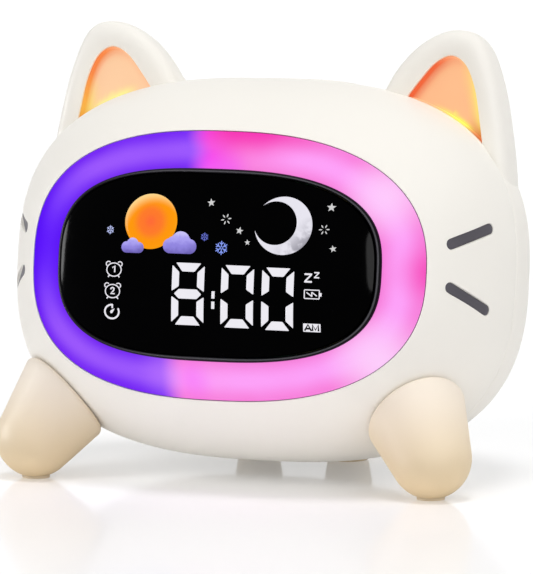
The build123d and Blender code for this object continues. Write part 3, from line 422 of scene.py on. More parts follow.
def onCircle(x, z, reach, turn):
    return (x + reach * math.cos(turn), z + reach * math.sin(turn))


def crossed(profiles):
    # profiles that run across the rings, turned into the rings themselves
    return [list(ring) for ring in zip(*profiles)]


def addBand(mesh, first, second):
    count = len(first)
    for i in range(count):
        k = (i + 1) % count
        mesh.faces.new((first[i], first[k], second[k], second[i]))


def ringMesh(rings, closed=False, capStart=False, capEnd=False):
    # rings of points, each closed on itself, joined one to the next
    mesh = bmesh.new()
    rows = [[mesh.verts.new(point) for point in ring] for ring in rings]
    for first, second in zip(rows, rows[1:]):
        addBand(mesh, first, second)
    if closed:
        addBand(mesh, rows[-1], rows[0])
    if capStart:
        mesh.faces.new(list(reversed(rows[0])))
    if capEnd:
        mesh.faces.new(rows[-1])
    bmesh.ops.recalc_face_normals(mesh, faces=mesh.faces)
    return mesh


def onSide(mesh, side):
    # pieces are drawn on the right, and the left one is the mirror image
    if side < 0:
        mesh.transform(Matrix.Scale(-1, 4, (1, 0, 0)))
        bmesh.ops.reverse_faces(mesh, faces=mesh.faces)
    return mesh


def objectFrom(mesh, name, place=clockFromHead):
    data = bpy.data.meshes.new(name)
    mesh.transform(place)
    mesh.to_mesh(data)
    mesh.free()
    piece = bpy.data.objects.new(name, data)
    bpy.context.scene.collection.objects.link(piece)
    return piece


sharpAngle = math.radians(38.0)  # edges that turn by more stay crisp


def dress(piece, material, body="root", replaced=()):
    data = piece.data
    data.polygons.foreach_set("use_smooth", [True] * len(data.polygons))
    data.set_sharp_from_angle(angle=sharpAngle)
    data.materials.clear()
    data.materials.append(material)
    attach(piece, body)
    if replaced:
        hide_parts(*replaced)


def cutOut(piece, cutter):
    change = piece.modifiers.new("cut", "BOOLEAN")
    change.operation = "DIFFERENCE"
    change.solver = "EXACT"
    change.object = cutter
    bpy.context.view_layer.update()
    graph = bpy.context.evaluated_depsgraph_get()
    data = bpy.data.meshes.new_from_object(piece.evaluated_get(graph))
    piece.modifiers.remove(change)
    old = piece.data
    piece.data = data
    data.name = piece.name
    bpy.data.meshes.remove(old)
    bpy.data.objects.remove(cutter)


def roundedEdge(radius, steps=5):
    # a quarter circle, from along one face to along the other: how far in, how far down
    parts = []
    for step in range(steps + 1):
        turn = math.pi / 2 * step / steps
        parts.append((radius * (1 - math.cos(turn)), radius * (1 - math.sin(turn))))
    return parts


# The two halves of the casing

ringOpening = {"half": (59.3, 38.1), "power": 2.5, "gap": 0.13, "lipDepth": 4.5, "edge": 0.4}
seam = {"gap": 0.07, "edge": 0.35}
frontShell = {
    "steps": 46,
    "innerDepths": (-14.0, -22.0, -29.0, -35.0),
    "innerEdge": (2.0, 0.6),  # past the opening's edge, behind the inner skin
}
whiskers = {
    "ends": (((64.6, 8.9), (71.4, 13.9)), ((64.8, -3.4), (71.6, -9.2))),
    "width": 3.0,
    "depth": 0.9,
    "sunk": 0.12,
    "edge": 0.22,
    "gap": 0.07,
    "grooveRows": ((0.0, -1.5), (0.12, -0.05), (0.0, 0.12), (0.0, 1.0)),  # wider, below the skin
    "search": 6.0,
}


def openingReach(angle, gap):
    return outlineRadius(*ringOpening["half"], ringOpening["power"], angle) + gap


def frontProfile(angle):
    # one radial line of the front half: opening wall, outer skin, seam edge, inner skin
    reach = openingReach(angle, ringOpening["gap"])
    points = [onFront(angle, reach, deeper=ringOpening["lipDepth"])]
    for inward, down in roundedEdge(ringOpening["edge"]):
        points.append(onFront(angle, reach + inward, deeper=down))
    start = points[-1]
    seamY = head["seamY"] - seam["gap"]
    power = head["frontPower"]
    firstTurn = math.asin(headShare(start[0], start[2]) ** (power / 2))
    lastTurn = math.asin(shareAtY(seamY - seam["edge"]) ** (power / 2))
    for step in range(1, frontShell["steps"]):
        turn = firstTurn + (lastTurn - firstTurn) * step / frontShell["steps"]
        points.append(onFront(angle, math.sin(turn) ** (2 / power) * headRadius(angle)))
    for down, inward in reversed(roundedEdge(seam["edge"])):
        points.append(onSection(angle, seamY - down, inward))
    for y in (seamY, *frontShell["innerDepths"]):
        points.append(onSection(angle, y, head["wall"]))
    beyond, deeper = frontShell["innerEdge"]
    points.append(onFront(angle, reach + beyond, inset=head["wall"], deeper=deeper))
    return points


def whiskerFrame(ends):
    first, last = [Vector((x, frontY(x, z), z)) for x, z in ends]
    middle = (first + last) / 2
    step = 0.5
    slopeX = (frontY(middle.x + step, middle.z) - frontY(middle.x - step, middle.z)) / (2 * step)
    slopeZ = (frontY(middle.x, middle.z + step) - frontY(middle.x, middle.z - step)) / (2 * step)
    outward = Vector((slopeX, -1, slopeZ)).normalized()
    along = (last - first).normalized()
    up = outward.cross(along).normalized()
    return middle, along, up, outward, (last - first).length


def slotOutline(length, radius, count=14):
    points = []
    for side in (1, -1):
        for step in range(count + 1):
            turn = math.pi * (step / count - 0.5)
            points.append((side * (length / 2 + radius * math.cos(turn)), side * radius * math.sin(turn)))
    return points


def dropToSkin(point, outward, inset):
    # along outward until the head's skin, drawn in by inset, is met
    low, high = -whiskers["search"], whiskers["search"]
    for step in range(30):
        middle = (low + high) / 2
        test = point + outward * middle
        if test.y < frontY(test.x, test.z, inset) or headShare(test.x, test.z, inset) >= 1:
            high = middle
        else:
            low = middle
    return point + outward * low


def whiskerRings(ends, side, levels):
    # levels: how much the outline grows and how deep below the skin it lies
    middle, along, up, outward, length = whiskerFrame(ends)
    rings = []
    for grow, inset in levels:
        ring = []
        radius = max(whiskers["width"] / 2 + grow, 0.02)
        for u, v in slotOutline(length, radius):
            point = dropToSkin(middle + along * u + up * v, outward, inset)
            ring.append((side * point.x, point.y, point.z))
        rings.append(ring)
    return rings


def whiskerStrip(ends, side):
    edge, sunk = whiskers["edge"], whiskers["sunk"]
    levels = [(-whiskers["width"] / 2, sunk), (-1.0, sunk), (-edge, sunk)]
    levels += [(-edge * (1 - math.sin(t)), sunk + edge * (1 - math.cos(t))) for t in (0.5, 1.0, 1.5)]
    levels += [(0.0, whiskers["depth"])]
    return ringMesh(whiskerRings(ends, side, levels), capStart=True, capEnd=True)


def whiskerCutter(ends, side):
    levels = [(whiskers["gap"] + wider, below) for wider, below in whiskers["grooveRows"]]
    return ringMesh(whiskerRings(ends, side, levels), capStart=True, capEnd=True)


def joinMeshes(parts):
    whole = bmesh.new()
    for part in parts:
        holder = bpy.data.meshes.new("part")
        part.to_mesh(holder)
        part.free()
        whole.from_mesh(holder)
        bpy.data.meshes.remove(holder)
    return whole


def makeFrontShell():
    angles = evenAngles(head["halfWidth"], head["halfHeight"])
    rings = crossed([frontProfile(angle) for angle in angles])
    shell = objectFrom(ringMesh(rings, closed=True), "frontShell")
    cutters = [whiskerCutter(ends, side) for ends in whiskers["ends"] for side in (1, -1)]
    cutOut(shell, objectFrom(joinMeshes(cutters), "whiskerGrooves"))
    dress(shell, shellMaterial, replaced=["front_shell"])


def makeWhiskers():
    for side, name in sides:
        strips = [whiskerStrip(ends, side) for ends in whiskers["ends"]]
        piece = objectFrom(joinMeshes(strips), "whiskerStrips_" + name)
        dress(piece, whiskerMaterial, replaced=["whiskers_" + name])


makeFrontShell()
makeWhiskers()
print("front shell and whiskers made")


# Rear shell with its ears

rearShell = {
    "steps": 40,
    "seamTurns": (0.0, 0.4, 0.8, 1.2, math.pi / 2),
    "edgeStart": 0.35,
    # the soft edge of the flat back: how far out and how far in front of it
    "edgeRows": ((0.4, 0.16), (-0.2, 0.05), (-0.9, 0.0)),
    "edgeWidth": 2.2,
    "flatRows": (0.8, 0.6, 0.4, 0.2, 0.05),
    "innerFlatRows": (0.05, 0.4, 0.8),
    "innerSteps": 12,
    "innerCrowding": 1.6,
}
backOpenings = {
    "below": 0.8,
    "above": 2.0,
    "buttonXs": (-22.0, -11.0, 0.0, 11.0, 22.0),
    "buttonZ": 17.0,
    "buttonHole": 3.8,
    # middle x and z, half width and height, corner
    "socket": (-26.0, -10.0, 4.7, 1.85, 1.6),
    "switch": (26.0, -10.0, 3.85, 1.75, 0.4),
    "grilleZ": -7.0,
    "grilleHole": 0.9,
    "grilleRings": ((0.0, 1), (3.6, 6), (7.2, 12), (10.8, 18)),
    "screws": (60.0, 17.0),
    "screwRoom": 3.0,
    "screwSeatY": 12.0,
}
snooze = {
    "half": (22.0, 8.0),
    "power": 3.0,
    "y": 14.0,
    "proud": 0.8,
    "gap": 0.35,
    "edge": 0.7,
    "skirt": 3.0,
    "topRows": (0.8, 0.65, 0.5, 0.35, 0.2, 0.05),
    "points": 96,
    "cut": (44.0, 66.0),
}


def rearProfile(angle):
    # one radial line of the rear half: seam edge, outer skin, soft edge, flat back
    edge, backY = seam["edge"], head["backY"]
    seamY = head["seamY"] + seam["gap"]
    points = []
    for turn in rearShell["seamTurns"]:
        points.append(onSection(angle, seamY + edge * (1 - math.cos(turn)), edge * (1 - math.sin(turn))))
    power = head["rearPower"]
    for step in range(rearShell["steps"]):
        turn = math.pi / 2 * (1 - step / rearShell["steps"])
        share = math.sin(turn) ** (2 / power)
        y = depthAt(share, head["rearDepth"], power)
        if y > backY - rearShell["edgeStart"]:
            break
        points.append(polar(share * headRadius(angle), y, angle))
    edgeReach = shareAtY(backY) * headRadius(angle)
    for part, lower in rearShell["edgeRows"]:
        points.append(polar(edgeReach + part * rearShell["edgeWidth"], backY - lower, angle))
    for part in rearShell["flatRows"]:
        points.append(polar(part * edgeReach, backY, angle))
    return points


def rearInnerProfile(angle):
    inner = head["wall"]
    backY = head["backY"] - inner
    steps = rearShell["innerSteps"]
    points = []
    for part in rearShell["innerFlatRows"]:
        points.append(polar(part * shareAtY(backY, inner) * headRadius(angle, inner), backY, angle))
    for step in range(steps):
        y = backY * (1 - (step / steps) ** rearShell["innerCrowding"])
        points.append(onSection(angle, y, inner))
    points.append(onSection(angle, head["seamY"] + seam["gap"], inner))
    return points


def bridgedShell(outer, inner):
    # outer and inner skins, both closed at the back by a small face, joined at the seam
    mesh = ringMesh(crossed(outer), capEnd=True)
    rows = [[mesh.verts.new(point) for point in ring] for ring in crossed(inner)]
    for first, second in zip(rows, rows[1:]):
        addBand(mesh, first, second)
    mesh.faces.new(rows[0])
    mesh.verts.ensure_lookup_table()
    addBand(mesh, mesh.verts[:len(outer)], rows[-1])
    bmesh.ops.recalc_face_normals(mesh, faces=mesh.faces)
    return mesh


def straightCutter(outline, yLow, yHigh):
    rings = [[(x, y, z) for x, z in outline] for y in (yLow, yHigh)]
    return ringMesh(rings, capStart=True, capEnd=True)


def circleOutline(x, z, radius, count=28):
    return [onCircle(x, z, radius, 2 * math.pi * k / count) for k in range(count)]


def roundedBox(x, z, halfX, halfZ, corner, count=6):
    points = []
    for quarter, (right, up) in enumerate(((1, 1), (-1, 1), (-1, -1), (1, -1))):
        cornerX, cornerZ = x + right * (halfX - corner), z + up * (halfZ - corner)
        for step in range(count + 1):
            points.append(onCircle(cornerX, cornerZ, corner, math.pi / 2 * (quarter + step / count)))
    return points


def superOutline(x, z, halfX, halfZ, power, count=72):
    points = []
    for angle in evenAngles(halfX, halfZ, count):
        points.append(onCircle(x, z, outlineRadius(halfX, halfZ, power, angle), angle))
    return points


def backCutters():
    low = head["backY"] - head["wall"] - backOpenings["below"]
    high = head["backY"] + backOpenings["above"]
    cutters = []
    for x in backOpenings["buttonXs"]:
        outline = circleOutline(x, backOpenings["buttonZ"], backOpenings["buttonHole"])
        cutters.append(straightCutter(outline, low, high))
    for reach, count in backOpenings["grilleRings"]:
        for x, z in circleOutline(0.0, backOpenings["grilleZ"], reach, count):
            cutters.append(straightCutter(circleOutline(x, z, backOpenings["grilleHole"], 16), low, high))
    for name in ("socket", "switch"):
        cutters.append(straightCutter(roundedBox(*backOpenings[name]), low, high))
    screwX, screwZ = backOpenings["screws"]
    for right in (1, -1):
        for up in (1, -1):
            outline = circleOutline(right * screwX, up * screwZ, backOpenings["screwRoom"], 40)
            cutters.append(straightCutter(outline, backOpenings["screwSeatY"], high))
    keyHalf = [half + snooze["gap"] for half in snooze["half"]]
    outline = superOutline(0, snooze["y"], *keyHalf, snooze["power"])
    rings = [[(x, y, z) for x, y in outline] for z in snooze["cut"]]
    cutters.append(ringMesh(rings, capStart=True, capEnd=True))
    return joinMeshes(cutters)


ears = {
    "outline": ((30.5, 50.0), (35.6, 59.6), (43.0, 67.2), (52.0, 71.0), (60.2, 68.6),
                (65.3, 57.0), (68.6, 41.5), (69.9, 32.0), (70.5, 24.0), (70.8, 17.0)),
    "outlineClose": (50.0, 20.0),
    "opening": ((36.6, 47.6), (43.0, 56.4), (47.6, 61.6), (52.4, 63.6),
                (56.8, 60.8), (59.8, 54.0), (61.6, 45.0), (63.6, 33.0)),
    "openingClose": (50.0, 33.0),
    "anchor": (54.0, 38.0),
    "frontY": -3.85,
    "crest": 0.6,
    "backDepth": 20.05,
    "backPowers": (4.0, 2.45),
    "backSteps": 32,
    "backEnd": 1.531,
    "lensY": 0.7,
    "pocketY": 2.6,
    "pocketRows": ((0.0, 0.25), (0.004, 0.6), (0.008, 1.6), (0.01, 4.0)),  # inward, down
    "rimSteps": 12,
    "rimPower": 2.3,
    "rimReach": 0.9,
    "lipSteps": 4,
    "lipDip": 0.5,
    "lipReach": 0.1,
    "lipShort": 0.02,
    "points": 96,
    "flare": 4.5,
    "flareShare": 0.42,
    "flareFrom": (0.5, 3.5),
    "lean": 0.9,
    "sunk": 1.2,
}


def curveThrough(points, count, close):
    # a smooth curve through the points, evenly spaced, then straight back through the closing point
    fine = []
    last = len(points) - 1
    for k in range(last):
        before, first = Vector(points[max(k - 1, 0)]), Vector(points[k])
        second, after = Vector(points[k + 1]), Vector(points[min(k + 2, last)])
        for step in range(20):
            t = step / 20
            fine.append(0.5 * (2 * first + (second - before) * t
                               + (2 * before - 5 * first + 4 * second - after) * t ** 2
                               + (3 * first - before - 3 * second + after) * t ** 3))
    fine.append(Vector(points[-1]))
    curve = evenlySpaced(fine, count)
    bottom = evenlySpaced([Vector(points[-1]), Vector(close), Vector(points[0])], count // 3)
    return curve + bottom[1:-1]


def evenlySpaced(line, count):
    lengths = [0.0]
    for first, second in zip(line, line[1:]):
        lengths.append(lengths[-1] + (second - first).length)
    spaced = []
    at = 0
    for step in range(count):
        target = lengths[-1] * step / (count - 1)
        while at < len(line) - 2 and lengths[at + 1] < target:
            at += 1
        span = lengths[at + 1] - lengths[at]
        part = (target - lengths[at]) / span if span else 0.0
        spaced.append(line[at].lerp(line[at + 1], min(part, 1.0)))
    return spaced


def keepOutOfHead(x, y, z, inset):
    # points deep inside the head are brought out to its wall, so the ear's foot hugs the shell
    share = headShare(x, z, inset)
    needed = shareAtY(y, inset)
    if share >= needed:
        return (x, y, z)
    grow = needed / max(share, 0.05)
    return (x * grow, y, z * grow)


def earRings():
    outer = curveThrough(ears["outline"], ears["points"], ears["outlineClose"])
    opening = curveThrough(ears["opening"], ears["points"], ears["openingClose"])
    anchor = Vector(ears["anchor"])
    rings = []
    scalePower, depthPower = ears["backPowers"]
    for step in range(ears["backSteps"], 0, -1):
        turn = ears["backEnd"] * step / ears["backSteps"]
        scale = math.cos(turn) ** (2 / scalePower)
        y = ears["backDepth"] * math.sin(turn) ** (2 / depthPower)
        rings.append([(*(anchor + (point - anchor) * scale), y) for point in outer])
    crest, front, rimReach = ears["crest"], ears["frontY"], ears["rimReach"]
    for step in range(ears["rimSteps"] + 1):
        turn = math.pi / 2 * step / ears["rimSteps"]
        part = crest * (1 - max(math.cos(turn), 0.0) ** (2 / ears["rimPower"]))
        y = front * math.sin(turn) ** (2 / ears["rimPower"])
        rings.append([(*edge.lerp(hole, part * rimReach), y) for edge, hole in zip(outer, opening)])
    for step in range(1, ears["lipSteps"] + 1):
        share = step / ears["lipSteps"]
        part = crest + (1 - crest) * share
        reach = part * rimReach + ears["lipReach"] * share * (part - ears["lipShort"])
        y = front + ears["lipDip"] * share ** 2
        rings.append([(*edge.lerp(hole, reach), y) for edge, hole in zip(outer, opening)])
    for inward, down in ears["pocketRows"]:
        y = front + ears["lipDip"] + down
        rings.append([(*(hole + (anchor - hole) * inward), y) for hole in opening])
    rings.append([(*hole, ears["pocketY"]) for hole in opening])
    return [[(x, y, z) for x, z, y in ring] for ring in rings]


def skinSlope(x, y, z):
    # the direction that points straight out of the rear half
    slopes = []
    for value, half, power in ((x, head["halfWidth"], head["outlinePower"]),
                               (y, head["rearDepth"], head["rearPower"]),
                               (z, head["halfHeight"], head["outlinePower"])):
        slopes.append((abs(value) / half) ** (power - 1) / half)
    return Vector(slopes).normalized()


def flared(point, normal):
    # near the head the ear's skin spreads out to meet the shell in a soft hollow
    x, y, z = point
    size = ears["flare"]
    above = (headShare(x, z) - shareAtY(y)) * ears["lean"] * headRadius(math.atan2(z, x))
    if y < ears["flareFrom"][0] or above > size:
        return point
    above = max(above, -ears["sunk"])
    spread = ears["flareShare"] * size * (1 - above / size) ** 2
    skin = skinSlope(x, y, z)
    sideways = normal - skin * normal.dot(skin)
    moved = Vector(point) + sideways * spread * shareBetween(y, *ears["flareFrom"])
    return tuple(moved)


def earMesh(side):
    rings = earRings()
    mesh = ringMesh(rings, capStart=True, capEnd=True)
    mesh.normal_update()
    outerCount = ears["backSteps"] * len(rings[0])
    for index, vertex in enumerate(mesh.verts):
        moved = tuple(vertex.co)
        if index < outerCount:
            moved = flared(moved, vertex.normal)
        vertex.co = Vector(keepOutOfHead(*moved, ears["sunk"]))
    return onSide(mesh, side)


def makeRearShell():
    angles = evenAngles(head["halfWidth"], head["halfHeight"])
    outer = [rearProfile(angle) for angle in angles]
    inner = [rearInnerProfile(angle) for angle in angles]
    shell = objectFrom(bridgedShell(outer, inner), "rearShell")
    cutOut(shell, objectFrom(backCutters(), "backCutters"))
    for side in (1, -1):
        ear = objectFrom(earMesh(side), "ear")
        whole = bmesh.new()
        whole.from_mesh(shell.data)
        whole.from_mesh(ear.data)
        whole.to_mesh(shell.data)
        whole.free()
        bpy.data.objects.remove(ear)
    dress(shell, shellMaterial, replaced=["rear_shell"])


makeRearShell()
print("rear shell and ears made")


# Ear lenses, with painted light as if lit from below

earLens = {
    "fit": 0.985,
    "lipY": -2.7,
    "thick": 1.5,
    # how much smaller than the opening, how far behind the back or the lip, how much counts as wall
    "backRows": ((0.03, 0.0, 0.0), (0.0, -0.3, 0.0)),
    "lipRows": ((0.0, 0.0, 0.7), (0.006, -0.08, 0.8), (0.014, -0.05, 1.0), (0.018, 0.1, 1.0),
                (0.02, 1.0, 1.0)),
    "corner": 1.1,
    "cornerSteps": 8,
    "cornerIn": 0.022,
    "cornerShare": 0.085,
    "cornerFade": (0.075, 0.02),
    # across the face: scale, how much counts as wall, how near the rim
    "faceRows": ((0.84, 0.2, 0.9), (0.8, 0.07, 0.8), (0.74, 0.0, 0.62), (0.66, 0.0, 0.4),
                 (0.55, 0.0, 0.18), (0.4, 0.0, 0.0), (0.25, 0.0, 0.0), (0.1, 0.0, 0.0)),
    "faceSag": 0.3,
    "anchor": (53.5, 47.0),
    "proud": 0.2,
    # painted light: each lens has its own tone, the left one paler, from how each is lit
    "tone": {1: colour(252, 187, 139), -1: colour(252, 204, 162)},
    "cloudy": (90.0, 1.08),
    # painted shade on the recessed wall, together with the lens's own deeper orange where it is seen edge-on
    "wall": {1: colour(232, 94, 52), -1: colour(240, 128, 62)},
    # painted light: amber where the lamp's light reaches the outer wall low down
    "outerWall": colour(240, 176, 70),
    # painted light: the lamp's glow on the lens's foot and along its outer edge
    "glow": {1: colour(255, 246, 104), -1: colour(255, 248, 150)},
    "edgeGlow": colour(254, 228, 122),
    "edgeShare": 1.1,
    # painted shade: the lens's outer corner kept dark
    "corners": colour(214, 104, 48),
    "glowFrom": {1: (45.0, 55.0), -1: (44.0, 51.0)},
    "glowTo": {1: (60.5, 56.5), -1: (62.0, 57.0)},
    "glowStart": {1: 0.2, -1: 2.0},
    "glowReach": {1: 0.8, -1: 1.5},
    # where along the opening's edge the outer side begins
    "outerSpan": {1: (0.42, 0.62), -1: (0.58, 0.78)},
    # where along the opening's edge the wall shows deep orange, partly painted shade: from, to, share left
    # elsewhere
    "wallSpan": {1: (0.46, 0.28, 0.12), -1: (0.3, 0.48, 0.3)},
    "cornerFrom": (56.5, 61.0),
    "cornerReach": 2.6,
    "cornerDark": 0.9,
    "emission": 0.8,
    "ownShare": 0.22,
}


def earLensRows():
    # scale about the anchor, depth, how much of it is wall, how near the rim
    fit, floor, lip = earLens["fit"], ears["lensY"], earLens["lipY"]
    back = floor + earLens["thick"]
    wallFade, rimFade = earLens["cornerFade"]
    rows = [(fit - less, back + away, wall, 1.0) for less, away, wall in earLens["backRows"]]
    rows += [(fit - less, lip + away, wall, 1.0) for less, away, wall in earLens["lipRows"]]
    for step in range(earLens["cornerSteps"] + 1):
        turn = math.pi / 2 * step / earLens["cornerSteps"]
        scale = fit - earLens["cornerIn"] - earLens["cornerShare"] * (1 - math.cos(turn))
        y = floor - earLens["corner"] * (1 - math.sin(turn))
        rows.append((scale, y, 1.0 - wallFade * step, 1.0 - rimFade * step))
    for scale, wallShare, rimShare in earLens["faceRows"]:
        rows.append((scale, floor + earLens["faceSag"] * (1 - scale), wallShare, rimShare))
    return rows


def lensMarks(side, along, place, wallShare, rimShare):
    # what the material reads at a place: masks for the painted wall shade, painted glow and painted corner
    # shade; along is the share of the way round the opening's curve
    x, y, z = place
    onCurve = 1.0 if along < 1 else 0.0
    outer = shareBetween(along, *earLens["outerSpan"][side]) * onCurve
    low, high, least = earLens["wallSpan"][side]
    shown = shareBetween(along, low, high)
    above = (headShare(x, z) - shareAtY(y)) * headRadius(math.atan2(z, x))
    beyond = max(above - earLens["glowStart"][side], 0.0)
    near = shareBetween(x, *earLens["cornerFrom"])
    return {
        "outerSide": outer,
        "outerEdge": outer * rimShare,
        "wallShare": wallShare * onCurve * (least + (1 - least) * shown ** 2 * (3 - 2 * shown)),
        "baseShare": math.exp(-(beyond / earLens["glowReach"][side]) ** 2),
        "cornerShare": near * math.exp(-(max(above, 0.0) / earLens["cornerReach"]) ** 2),
    }


def earLensMesh(side):
    anchor = Vector(earLens["anchor"])
    rim = curveThrough(ears["opening"], ears["points"], ears["openingClose"])
    rows = earLensRows()
    rings = []
    for row in rows:
        scale, y = row[:2]
        ring = []
        for point in rim:
            x, z = anchor + (point - anchor) * scale
            ring.append(keepOutOfHead(x, y, z, -earLens["proud"]))
        rings.append(ring)
    mesh = ringMesh(rings, capStart=True, capEnd=True)
    names = ("wallShare", "outerSide", "outerEdge", "baseShare", "cornerShare")
    layers = {name: mesh.verts.layers.float.new(name) for name in names}
    mesh.verts.ensure_lookup_table()
    for index, vertex in enumerate(mesh.verts):
        number, place = divmod(index, len(rim))
        marks = lensMarks(side, place / ears["points"], vertex.co, *rows[number][2:])
        for name in names:
            vertex[layers[name]] = marks[name]
    return onSide(mesh, side)


def earLensMaterial(side, name):
    material, tree, shader = startMaterial("ear_orange_" + name, {
        "Roughness": 0.36, "Emission Strength": earLens["emission"], "Specular IOR Level": 0.25})
    x = times(tree, placeParts(tree)[0], side / millimetre)
    scale, paler = earLens["cloudy"]
    tone = earLens["tone"][side]
    body = mixColour(tree, noise(tree, objectPlace(tree), scale), tone, scaledTone(tone, paler))
    # painted light: a paler glow along the outer edge
    edge = times(tree, attribute(tree, "outerEdge"), earLens["edgeShare"], clamp=True)
    body = mixColour(tree, edge, body, earLens["edgeGlow"])
    # the wall: deep orange at the top and inner side, the lens's thickness seen edge-on with painted shade;
    # painted light in amber low down on the outer side
    wall = mixColour(tree, attribute(tree, "outerSide"), earLens["wall"][side], earLens["outerWall"])
    body = mixColour(tree, attribute(tree, "wallShare"), body, wall)
    # painted light: the lamp under the ear lights the foot of the lens; painted shade keeps its outer corner
    # dark
    first = between(tree, x, *earLens["glowFrom"][side])
    lit = times(tree, first, between(tree, x, *earLens["glowTo"][side]))
    body = mixColour(tree, times(tree, attribute(tree, "baseShare"), lit), body, earLens["glow"][side])
    corner = times(tree, attribute(tree, "cornerShare"), earLens["cornerDark"])
    body = mixColour(tree, corner, body, earLens["corners"])
    glow(tree, shader, body, earLens["ownShare"])
    addGrain(tree, shader, 1400.0, 0.08, 0.00005)
    return material


for lensSide, lensName in sides:
    lens = objectFrom(earLensMesh(lensSide), "earLens_" + lensName)
    dress(lens, earLensMaterial(lensSide, lensName), replaced=["ear_lens_" + lensName])
print("ear lenses made")


# Light ring, bezel and window

lightRing = {
    "inner": (48.6, 27.1),
    "innerPower": 2.8,
    "innerGap": 0.12,
    "outerGap": 0.06,
    "thick": 2.5,
    "crown": 0.5,
    "steps": 18,
    "violet": (colour(120, 44, 246), colour(156, 88, 254)),
    "violetDeep": (colour(88, 18, 250), colour(98, 28, 255)),
    "pink": (colour(249, 132, 222), colour(254, 162, 249)),
    "pinkHot": colour(247, 40, 176),
    "pinkPale": colour(255, 208, 254),
    "magenta": colour(246, 88, 253),
    "lilac": colour(196, 124, 255),
    # painted shade: the dark tone of the ring's side walls down in the gap
    "dark": colour(84, 72, 90),
    "changeX": (-12.0, -3.9),
    "changeLean": 0.083,
    "changes": ((5.0, -25.0, 0.75), (31.0, 38.0, 3.6)),  # from height, to height, how far it moves
    # pools of deeper or paler light, in the head's frame: x, z, reach and strength
    "deepSpots": ((-57.0, 5.0, 32.0, 1.0),),
    "lilacSpots": ((-11.5, -30.5, 12.0, 0.55),),
    "paleSpots": ((48.5, 21.5, 15.5, 0.85), (48.0, -25.0, 17.0, 0.95)),
    "magentaSpots": ((-3.0, 30.0, 12.0, 1.0), (4.0, 27.0, 8.0, 0.5), (-5.3, -32.5, 8.0, 0.42),
                     (-5.5, 37.5, 6.5, 0.9)),
    "hotSpots": ((2.0, 42.5, 18.5, 1.0), (12.5, 42.5, 18.0, 1.0), (25.0, 41.0, 12.0, 0.45),
                 (61.5, 0.5, 12.0, 0.72)),
    "edgeDrop": 0.3,
    "crownPower": 3,
    "wallMark": 8.0,  # well over 1, so that the dark wall starts right at the face's edge
    "bandIn": (0.0, 0.5),
    "bandOut": (1.08, 0.55),
    "unevenness": 0.5,
    "emission": 0.88,
    "ownShare": 0.12,
}


def lightRingMesh():
    steps = lightRing["steps"]
    profiles = []
    for angle in evenAngles(*ringOpening["half"]):
        outer = openingReach(angle, -lightRing["outerGap"])
        inner = outlineRadius(*lightRing["inner"], lightRing["innerPower"], angle) + lightRing["innerGap"]
        line = [onFront(angle, outer, deeper=lightRing["thick"])]
        for step in range(steps + 1):
            part = step / steps
            crown = lightRing["crown"] * (1 - abs(2 * part - 1) ** lightRing["crownPower"])
            line.append(onFront(angle, outer + (inner - outer) * part, deeper=lightRing["edgeDrop"] - crown))
        line.append(onFront(angle, inner, deeper=lightRing["thick"]))
        profiles.append(line)
    mesh = ringMesh(crossed(profiles), closed=True)
    across = mesh.verts.layers.float.new("acrossBand")
    wall = mesh.verts.layers.float.new("sideWall")
    mesh.verts.ensure_lookup_table()
    for index, vertex in enumerate(mesh.verts):
        part = (index // len(profiles) - 1) / steps
        vertex[across] = shareBetween(part, 0.0, 1.0)
        vertex[wall] = 0.0 if 0.0 <= part <= 1.0 else lightRing["wallMark"]
    return mesh


def spotShare(tree, x, z, spot):
    # an eased round spot: its strength in the middle, nothing at its reach
    spotX, spotZ, reach, strength = spot
    away = reachNode(tree, x, z, spotX, spotZ)
    return times(tree, between(tree, away, reach, 0.0), strength)


def headHeight(tree):
    # how high a point lies in the head's own tilted frame, in millimetres
    x, y, z = placeParts(tree)[:3]
    tilt = math.radians(head["tilt"])
    parts = []
    for value, lift, share in ((z, head["lift"][2], math.cos(tilt)), (y, head["lift"][1], math.sin(tilt))):
        parts.append(times(tree, minus(tree, value, lift * millimetre), share / millimetre))
    return plus(tree, *parts)


def addSpots(tree, base, x, z, spots, tone):
    for spot in spots:
        base = mixColour(tree, spotShare(tree, x, z, spot), base, tone)
    return base


def lightRingMaterial():
    material, tree, shader = startMaterial("ring_diffuser", {
        "Roughness": 0.5, "Emission Strength": lightRing["emission"], "Specular IOR Level": 0.0})
    x = mathNode(tree, "DIVIDE", placeParts(tree)[0], millimetre)
    z = headHeight(tree)
    band = attribute(tree, "acrossBand")
    inner = between(tree, band, *lightRing["bandIn"])
    middle = times(tree, inner, between(tree, band, *lightRing["bandOut"]))
    drift = minus(tree, noise(tree, objectPlace(tree), 60.0, 2.0), 0.5)
    level = plus(tree, middle, times(tree, drift, lightRing["unevenness"]), clamp=True)
    violet = mixColour(tree, level, *lightRing["violet"])
    deep = mixColour(tree, level, *lightRing["violetDeep"])
    violet = addSpots(tree, violet, x, z, lightRing["deepSpots"], deep)
    violet = addSpots(tree, violet, x, z, lightRing["lilacSpots"], lightRing["lilac"])
    pink = mixColour(tree, level, *lightRing["pink"])
    for spots, tone in (("paleSpots", "pinkPale"), ("magentaSpots", "magenta"), ("hotSpots", "pinkHot")):
        pink = addSpots(tree, pink, x, z, lightRing[spots], lightRing[tone])
    leaned = minus(tree, x, times(tree, z, lightRing["changeLean"]))
    for low, high, shift in lightRing["changes"]:
        leaned = plus(tree, leaned, times(tree, between(tree, z, low, high), shift))
    face = mixColour(tree, between(tree, leaned, *lightRing["changeX"]), violet, pink)
    # painted shade: the side walls in the gap between ring and shell are dark
    wall = times(tree, attribute(tree, "sideWall"), 1.0, clamp=True)
    glow(tree, shader, mixColour(tree, wall, face, lightRing["dark"]), lightRing["ownShare"])
    addGrain(tree, shader, 1800.0, 0.05, 0.00004)
    return material


ringPiece = objectFrom(lightRingMesh(), "lightRing")
dress(ringPiece, lightRingMaterial(), replaced=["light_ring"])

